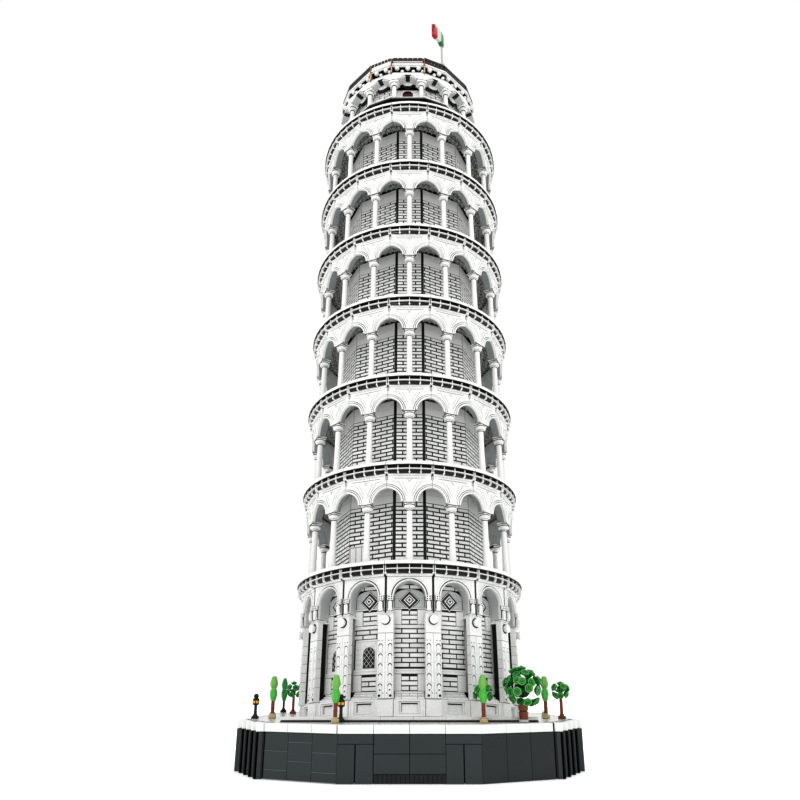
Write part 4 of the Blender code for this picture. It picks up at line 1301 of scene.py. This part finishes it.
def rim_face(shape, place, length):
    """White tiles along the rim, eight high and eight deep."""
    if length > 150:
        count = round(length / 32)
    elif length > 100:
        count = 4
    elif length > 60:
        count = 3
    else:
        count = 1
    gap_end = 1.5 if count == 3 else 0.0
    side_gap = 0.8 if count == 1 else 0.15
    for tile in range(count):
        x0 = (length - gap_end) * tile / count
        x1 = (length - gap_end) * (tile + 1) / count
        z0, z1 = 40.4, 48.0
        cut = 0.35
        x0, x1 = x0 + side_gap, x1 - side_gap
        back = [(x0, 8.0, z0), (x1, 8.0, z0), (x1, 8.0, z1 - 0.02), (x0, 8.0, z1 - 0.02)]
        front = [(x0, cut, z0), (x1, cut, z0), (x1, cut, z1), (x0, cut, z1)]
        left, right, low, high = x0 + cut, x1 - cut, z0 + cut, z1 - cut
        edge = [(left, 0, low), (right, 0, low), (right, 0, high), (left, 0, high)]
        points, faces = spread_loops([back, front, edge], False)
        shape.add(place, points, faces, "white")


def make_front_panel():
    """The middle of the front: two rows of smooth panels over a low recess of upright ribs."""
    shape = Shape()
    place, _ = face_frame((-32, -200), (32, -200))
    for x0, x1 in ((0, 32), (32, 64)):
        block(shape, place, x0 + 0.3, x1 - 0.05, 24.1, 39.9, 0.0, 1.5, "dark", 0.25, True)
        block(shape, place, x0 + 0.3, x1 - 0.05, 8.1, 23.9, 0.0, 1.5, "dark", 0.25, True)
    block(shape, place, 0.2, 63.8, 0.0, 8.0, 1.4, 1.6, "dark", 0.0, True)
    for step in range(16):
        x = 0.4 + 4.0 * step
        block(shape, place, x, x + 3.75, 0.0, 7.6, 0.9, 1.5, "black", 0.25)
    shape.make("front_tiles", "front_panel")


def make_paving():
    """Smooth tiles round the square well of the tower's foot."""
    shape = Shape()
    grid_x = [-168, -136, -124.6, -92, -60, -28, 0, 28, 60, 92, 124.6, 136, 168]
    grid_y = [-192, -176, -160, -149.6, -116, -84, -52, -20, 12, 44, 76, 100.2, 132, 160, 176, 192]
    for x0, x1 in zip(grid_x, grid_x[1:]):
        for y0, y1 in zip(grid_y, grid_y[1:]):
            in_well = x0 >= -124.7 and x1 <= 124.7 and y0 >= -149.7 and y1 <= 100.3
            corners = [(x0, y0), (x1, y0), (x1, y1), (x0, y1)]
            if in_well:
                continue
            clipped = clip_to_rim(corners)
            if len(clipped) > 2:
                slab(shape, Matrix.Identity(4), inset(clipped, 0.12), 40.6, 47.95, "paving", 0.2)
    shape.make("paving_tiles", "base_paving")


def clip_to_rim(polygon):
    """Cuts a tile by the lines of the rim's inner edge."""
    lines = []
    for sx in (-1, 1):
        lines.append((sx, 0, 167.6))
        for sy in (-1, 1):
            lines.append((sx * 0.4472, sy * 0.8944, (64 * 0.4472 + 200 * 0.8944) - 8.4))
            lines.append((sx * 0.8944, sy * 0.4472, (136 * 0.8944 + 164 * 0.4472) - 8.4))
    for sy in (-1, 1):
        lines.append((0, sy, 191.6))
    for nx, ny, reach in lines:
        kept = []
        for index, point in enumerate(polygon):
            after = polygon[(index + 1) % len(polygon)]
            here = point[0] * nx + point[1] * ny - reach
            there = after[0] * nx + after[1] * ny - reach
            if here <= 0:
                kept.append(point)
            if here * there < 0:
                share = here / (here - there)
                kept.append(tuple(a + (b - a) * share for a, b in zip(point, after)))
        polygon = kept
        if len(polygon) < 3:
            return []
    return polygon


# ---------------------------------------------------------------- garden
def spot_at(x, y, lift=0.3):
    return Matrix.Translation((x, y, BASE_TOP + lift))


def round_foot(shape, place, finish):
    lathe(shape, place, [(3.9, 0.0), (4.0, 0.3), (4.0, 2.7), (3.7, 3.1)], 20, finish)
    lathe(shape, place, [(2.4, 3.0), (2.4, 4.7), (2.2, 4.9)], 16, finish)


def make_cypress(name, x, y):
    place = spot_at(x, y)
    trunk = Shape()
    round_foot(trunk, place, "tan")
    bar = [(1.9, 4.8), (1.9, 9.8), (2.1, 9.9), (2.1, 10.6)]
    bar += [(1.9, 10.7), (1.9, 17.0), (1.6, 17.0), (1.6, 26.0)]
    lathe(trunk, place, bar, 18, "brown")
    trunk.make(name + "_stem", name + "_trunk")
    leaves = Shape()
    lower = [(1.68, 26.3), (1.68, 17.4), (2.4, 17.3), (3.0, 19.0), (4.1, 23.6), (4.1, 26.0), (2.8, 29.6)]
    upper = [(2.6, 29.7), (3.2, 31.2), (4.1, 33.2), (4.1, 35.6), (3.1, 39.6), (2.5, 41.6), (1.7, 42.4)]
    lathe(leaves, place, lower, 6, "lime", 0.0)
    lathe(leaves, place, upper, 6, "pale_lime", 0.0)
    leaves.make(name + "_leaf", name + "_foliage", name + "_leaves", 12)


def make_dark_cypress():
    shape = Shape()
    place = spot_at(-164.5, 108)
    round_foot(shape, place, "gap_shade_and_black")
    lathe(shape, place, [(1.4, 4.8), (1.4, 15.0)], 12, "gap_shade_and_black")
    lathe(shape, place, [(1.4, 13.0), (3.9, 20.0), (4.0, 25.0), (2.8, 28.6)], 6, "green", 0.0)
    lathe(shape, place, [(2.7, 28.7), (3.9, 32.0), (3.7, 36.0), (1.9, 41.6), (1.2, 42.6)], 6, "green", 0.0)
    shape.make("cypress_far", "dark_cypress", MAIN, 20)


def leaf_rosette(shape, place, radius):
    """A round leaf piece: a scalloped cup with a stud in its middle."""
    sides = 24
    loops = []
    cup = ((0.25, -0.55), (0.7, -0.35), (1.0, 0.05), (0.92, 0.22), (0.62, 0.0), (0.42, -0.05))
    for reach, height in cup:
        loop = []
        for side in range(sides):
            angle = 2 * math.pi * side / sides
            wave = 1.0 + 0.10 * reach * math.cos(6 * angle)
            r = radius * reach * wave
            loop.append((r * math.cos(angle), r * math.sin(angle), height * radius))
        loops.append(loop)
    points, faces = spread_loops(loops, True)
    shape.add(place, points, faces, "green")
    # Painted highlight and painted shade: alternately lighter and darker green rings over the cup.
    steps = [
        ([(0.90, 0.16), (0.94, 0.27), (0.78, 0.28)], 20, "leaf_highlight"),
        ([(0.74, 0.20), (0.74, 0.30)], 18, "leaf_shade"),
        ([(0.56, 0.2), (0.56, 0.40)], 16, "leaf_highlight"),
        ([(0.44, 0.3), (0.44, 0.42)], 16, "leaf_shade"),
        ([(0.28, 0.3), (0.28, 0.56)], 14, "green"),
    ]
    for profile, rounds, finish in steps:
        scaled = [(reach * radius, height * radius) for reach, height in profile]
        lathe(shape, place, scaled, rounds, finish)


def leaf_ball(shape, place, centre, reach, radius, directions, jitter):
    for azimuth, elevation in directions:
        a = math.radians(azimuth + rng.uniform(-9, 9))
        e = math.radians(elevation + rng.uniform(-7, 7))
        out = Vector((math.sin(a) * math.cos(e), -math.cos(a) * math.cos(e), math.sin(e)))
        turn = out.to_track_quat("Z", "X").to_matrix().to_4x4()
        spread = reach + rng.uniform(-jitter, jitter)
        spot = place @ Matrix.Translation(Vector((0, 0, centre)) + out * spread) @ turn
        leaf_rosette(shape, spot, radius)


def make_big_tree():
    place = spot_at(108.8, -155)
    trunk = Shape()
    lathe(trunk, place, [(4.6, 0.0), (4.7, 0.3), (4.7, 1.9), (4.4, 2.2)], 20, "paving")
    lathe(trunk, place, [(4.0, 2.2), (4.6, 9.0), (4.6, 9.4)], 20, "brown")
    lathe(trunk, place, [(3.6, 9.4), (3.6, 10.2)], 20, "gap_shade_and_black")
    lathe(trunk, place, [(4.5, 10.2), (4.7, 12.0), (4.7, 15.2)], 20, "brown")
    trunk.make("big_tree_stem", "big_tree_trunk")
    leaves = Shape()
    ball(leaves, place @ Matrix.Translation((0, 0, 29.5)), 8.0, 14, "leaf_shade")
    directions = [(0, 88)]
    directions += [(60 * step + 12, 56) for step in range(6)]
    directions += [(36 * step, 24) for step in range(10)]
    directions += [(36 * step + 18, -6) for step in range(10)]
    directions += [(60 * step + 5, -40) for step in range(6)]
    leaf_ball(leaves, place, 30.5, 16.4, 4.3, directions, 2.1)
    leaves.make("big_tree_leaves", "big_tree_foliage")


def make_small_tree(name, x, y):
    shape = Shape()
    place = spot_at(x, y)
    round_foot(shape, place, "brown")
    lathe(shape, place, [(1.7, 4.8), (1.5, 21.0)], 14, "brown")
    ball(shape, place @ Matrix.Translation((0, 0, 27.0)), 2.6, 12, "green")
    for step in range(5):
        twig = place @ Matrix.Translation((0, 0, 26.5)) @ Matrix.Rotation(1.257 * step, 4, "Z")
        twig = twig @ Matrix.Rotation(math.radians(70 + 12 * (step % 2)), 4, "Y")
        lathe(shape, twig, [(0.9, 0), (0.7, 6.5)], 8, "green")
    directions = [(0, 80)]
    directions += [(72 * step + 90, 26) for step in range(5)]
    directions += [(72 * step + 54, -24) for step in range(5)]
    leaf_ball(shape, place, 27.0, 8.2, 3.6, directions, 1.2)
    shape.make(name + "_leaves", name)


def make_lamp(name, x, y):
    shape = Shape()
    place = spot_at(x, y)
    lathe(shape, place, [(3.9, 0.0), (4.0, 0.3), (4.0, 1.8), (2.6, 3.2), (2.0, 4.2)], 20, "black")
    lathe(shape, place, [(1.7, 4.0), (1.7, 7.0), (1.5, 7.2), (1.5, 13.0), (2.4, 13.6)], 16, "black")
    lathe(shape, place, [(2.4, 13.4), (3.4, 14.2), (3.4, 15.2)], 20, "black")
    # Painted light: the yellow band glows.
    lathe(shape, place, [(3.0, 15.2), (3.1, 17.8)], 20, "yellow")
    hood = [(3.5, 17.8), (3.4, 19.4), (2.4, 20.2), (2.0, 21.0), (2.7, 21.8), (2.3, 23.6)]
    lathe(shape, place, hood + [(1.0, 24.8)], 20, "black")
    for step in range(4):
        turn = place @ Matrix.Rotation(math.pi / 2 * step, 4, "Z")
        block(shape, turn, -0.4, 0.4, 14.8, 18.2, -3.5, -2.6, "black", 0.1)
    shape.make(name + "_post", name)


def make_flower_tubs():
    """Low flower tubs on the paving, right and left of the tower."""
    shape = Shape()
    for x, y in ((146, -62), (-147, -66)):
        place = spot_at(x, y, 0.0)
        lathe(shape, place, [(3.8, 0.0), (4.0, 0.3), (4.0, 2.9), (3.7, 3.2)], 20, "paving")
        lathe(shape, place, [(3.2, 3.2), (3.4, 3.4), (3.4, 5.8), (2.9, 6.3)], 16, "tan")
        lathe(shape, place, [(1.8, 6.2), (1.7, 7.4)], 12, "tan")
    shape.make("flower_tubs", None)


# ---------------------------------------------------------------- stage
def add_light(name, kind, location, target, energy, size, colour=(1, 1, 1)):
    data = bpy.data.lights.new(name, kind)
    data.energy = energy
    data.color = colour
    if kind == "AREA":
        data.shape = "DISK"
        data.size = size
    light = bpy.data.objects.new(name, data)
    light.location = location
    light.rotation_euler = (Vector(target) - Vector(location)).to_track_quat("-Z", "Y").to_euler()
    bpy.context.scene.collection.objects.link(light)
    return light


def make_stage():
    mesh = bpy.data.meshes.new("floor")
    reach = 14.0
    corners = ((-reach, -reach), (reach, -reach), (reach, reach), (-reach, reach))
    mesh.from_pydata([(x, y, -0.0004) for x, y in corners], [], [(0, 1, 2, 3)])
    floor = bpy.data.objects.new("floor", mesh)
    bpy.context.scene.collection.objects.link(floor)
    material, nodes, _ = new_material("floor_paper")
    shader = nodes["Principled BSDF"]
    shader.inputs["Base Color"].default_value = (0.93, 0.93, 0.93, 1)
    shader.inputs["Roughness"].default_value = 0.9
    shader.inputs["Specular IOR Level"].default_value = 0.1
    shader.inputs["Emission Color"].default_value = (1, 1, 1, 1)
    shader.inputs["Emission Strength"].default_value = 0.35
    mesh.materials.append(material)
    world = bpy.data.worlds.new("studio")
    world.use_nodes = True
    background = world.node_tree.nodes["Background"]
    background.inputs["Color"].default_value = (1, 1, 1, 1)
    background.inputs["Strength"].default_value = 1.0
    bpy.context.scene.world = world
    target = (0, 0, 0.5)
    add_light("key", "AREA", (-0.7, -2.2, 2.9), target, 12, 0.7)
    add_light("fill", "AREA", (2.4, -2.2, 1.2), target, 2, 1.6)
    add_light("rim", "AREA", (0.6, 2.4, 2.4), target, 6, 1.2)
    bpy.context.scene.view_settings.view_transform = "Standard"
    bpy.context.scene.view_settings.gamma = 0.70
    bpy.context.scene.view_settings.exposure = 0.02


def make_camera():
    data = bpy.data.cameras.new("camera")
    data.sensor_width = 36.0
    data.lens = 36.0 * 705.4 / 800
    data.shift_x = -9.5 / 800
    data.shift_y = 44.0 / 800
    data.clip_start = 0.01
    data.clip_end = 100
    camera = bpy.data.objects.new("camera", data)
    camera.location = (0, -0.8754, 0.0799)
    camera.rotation_euler = (math.radians(90 + 19.0), 0, 0)
    bpy.context.scene.collection.objects.link(camera)
    bpy.context.scene.camera = camera


make_stage()
make_camera()
make_base()
make_foot()
make_ground_wall()
make_ground_arcade()
make_window("lattice_left", "window_left", -TURN)
make_window("lattice_far_left", "window_far_left", -2 * TURN)
for storey in range(7):
    make_cornice(storey)
for storey in range(6):
    make_gallery(storey)
    make_core_wall(storey)
make_gallery_door()
make_crown()
make_flag()
for where, x, y in (
    ("front_left", -69.4, -169.5),
    ("front_right", 69.4, -169.5),
    ("left", -146.0, -72.0),
    ("right", 146.0, -69.0),
):
    make_cypress("cypress_" + where, x, y)
make_dark_cypress()
make_big_tree()
make_small_tree("small_tree_right", 158.5, -90.0)
make_small_tree("small_tree_front", 71.0, -154.8)
make_small_tree("small_tree_back", -144.0, 56.0)
make_lamp("lamp_left", -163.0, -78.0)
make_lamp("lamp_front", -65.5, -154.5)
make_flower_tubs()
for hidden_node in ("base_bottom_plate", "tilt_cradle"):
    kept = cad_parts[hidden_node]
    kept.data.materials.clear()
    kept.data.materials.append(FINISHES["black"])
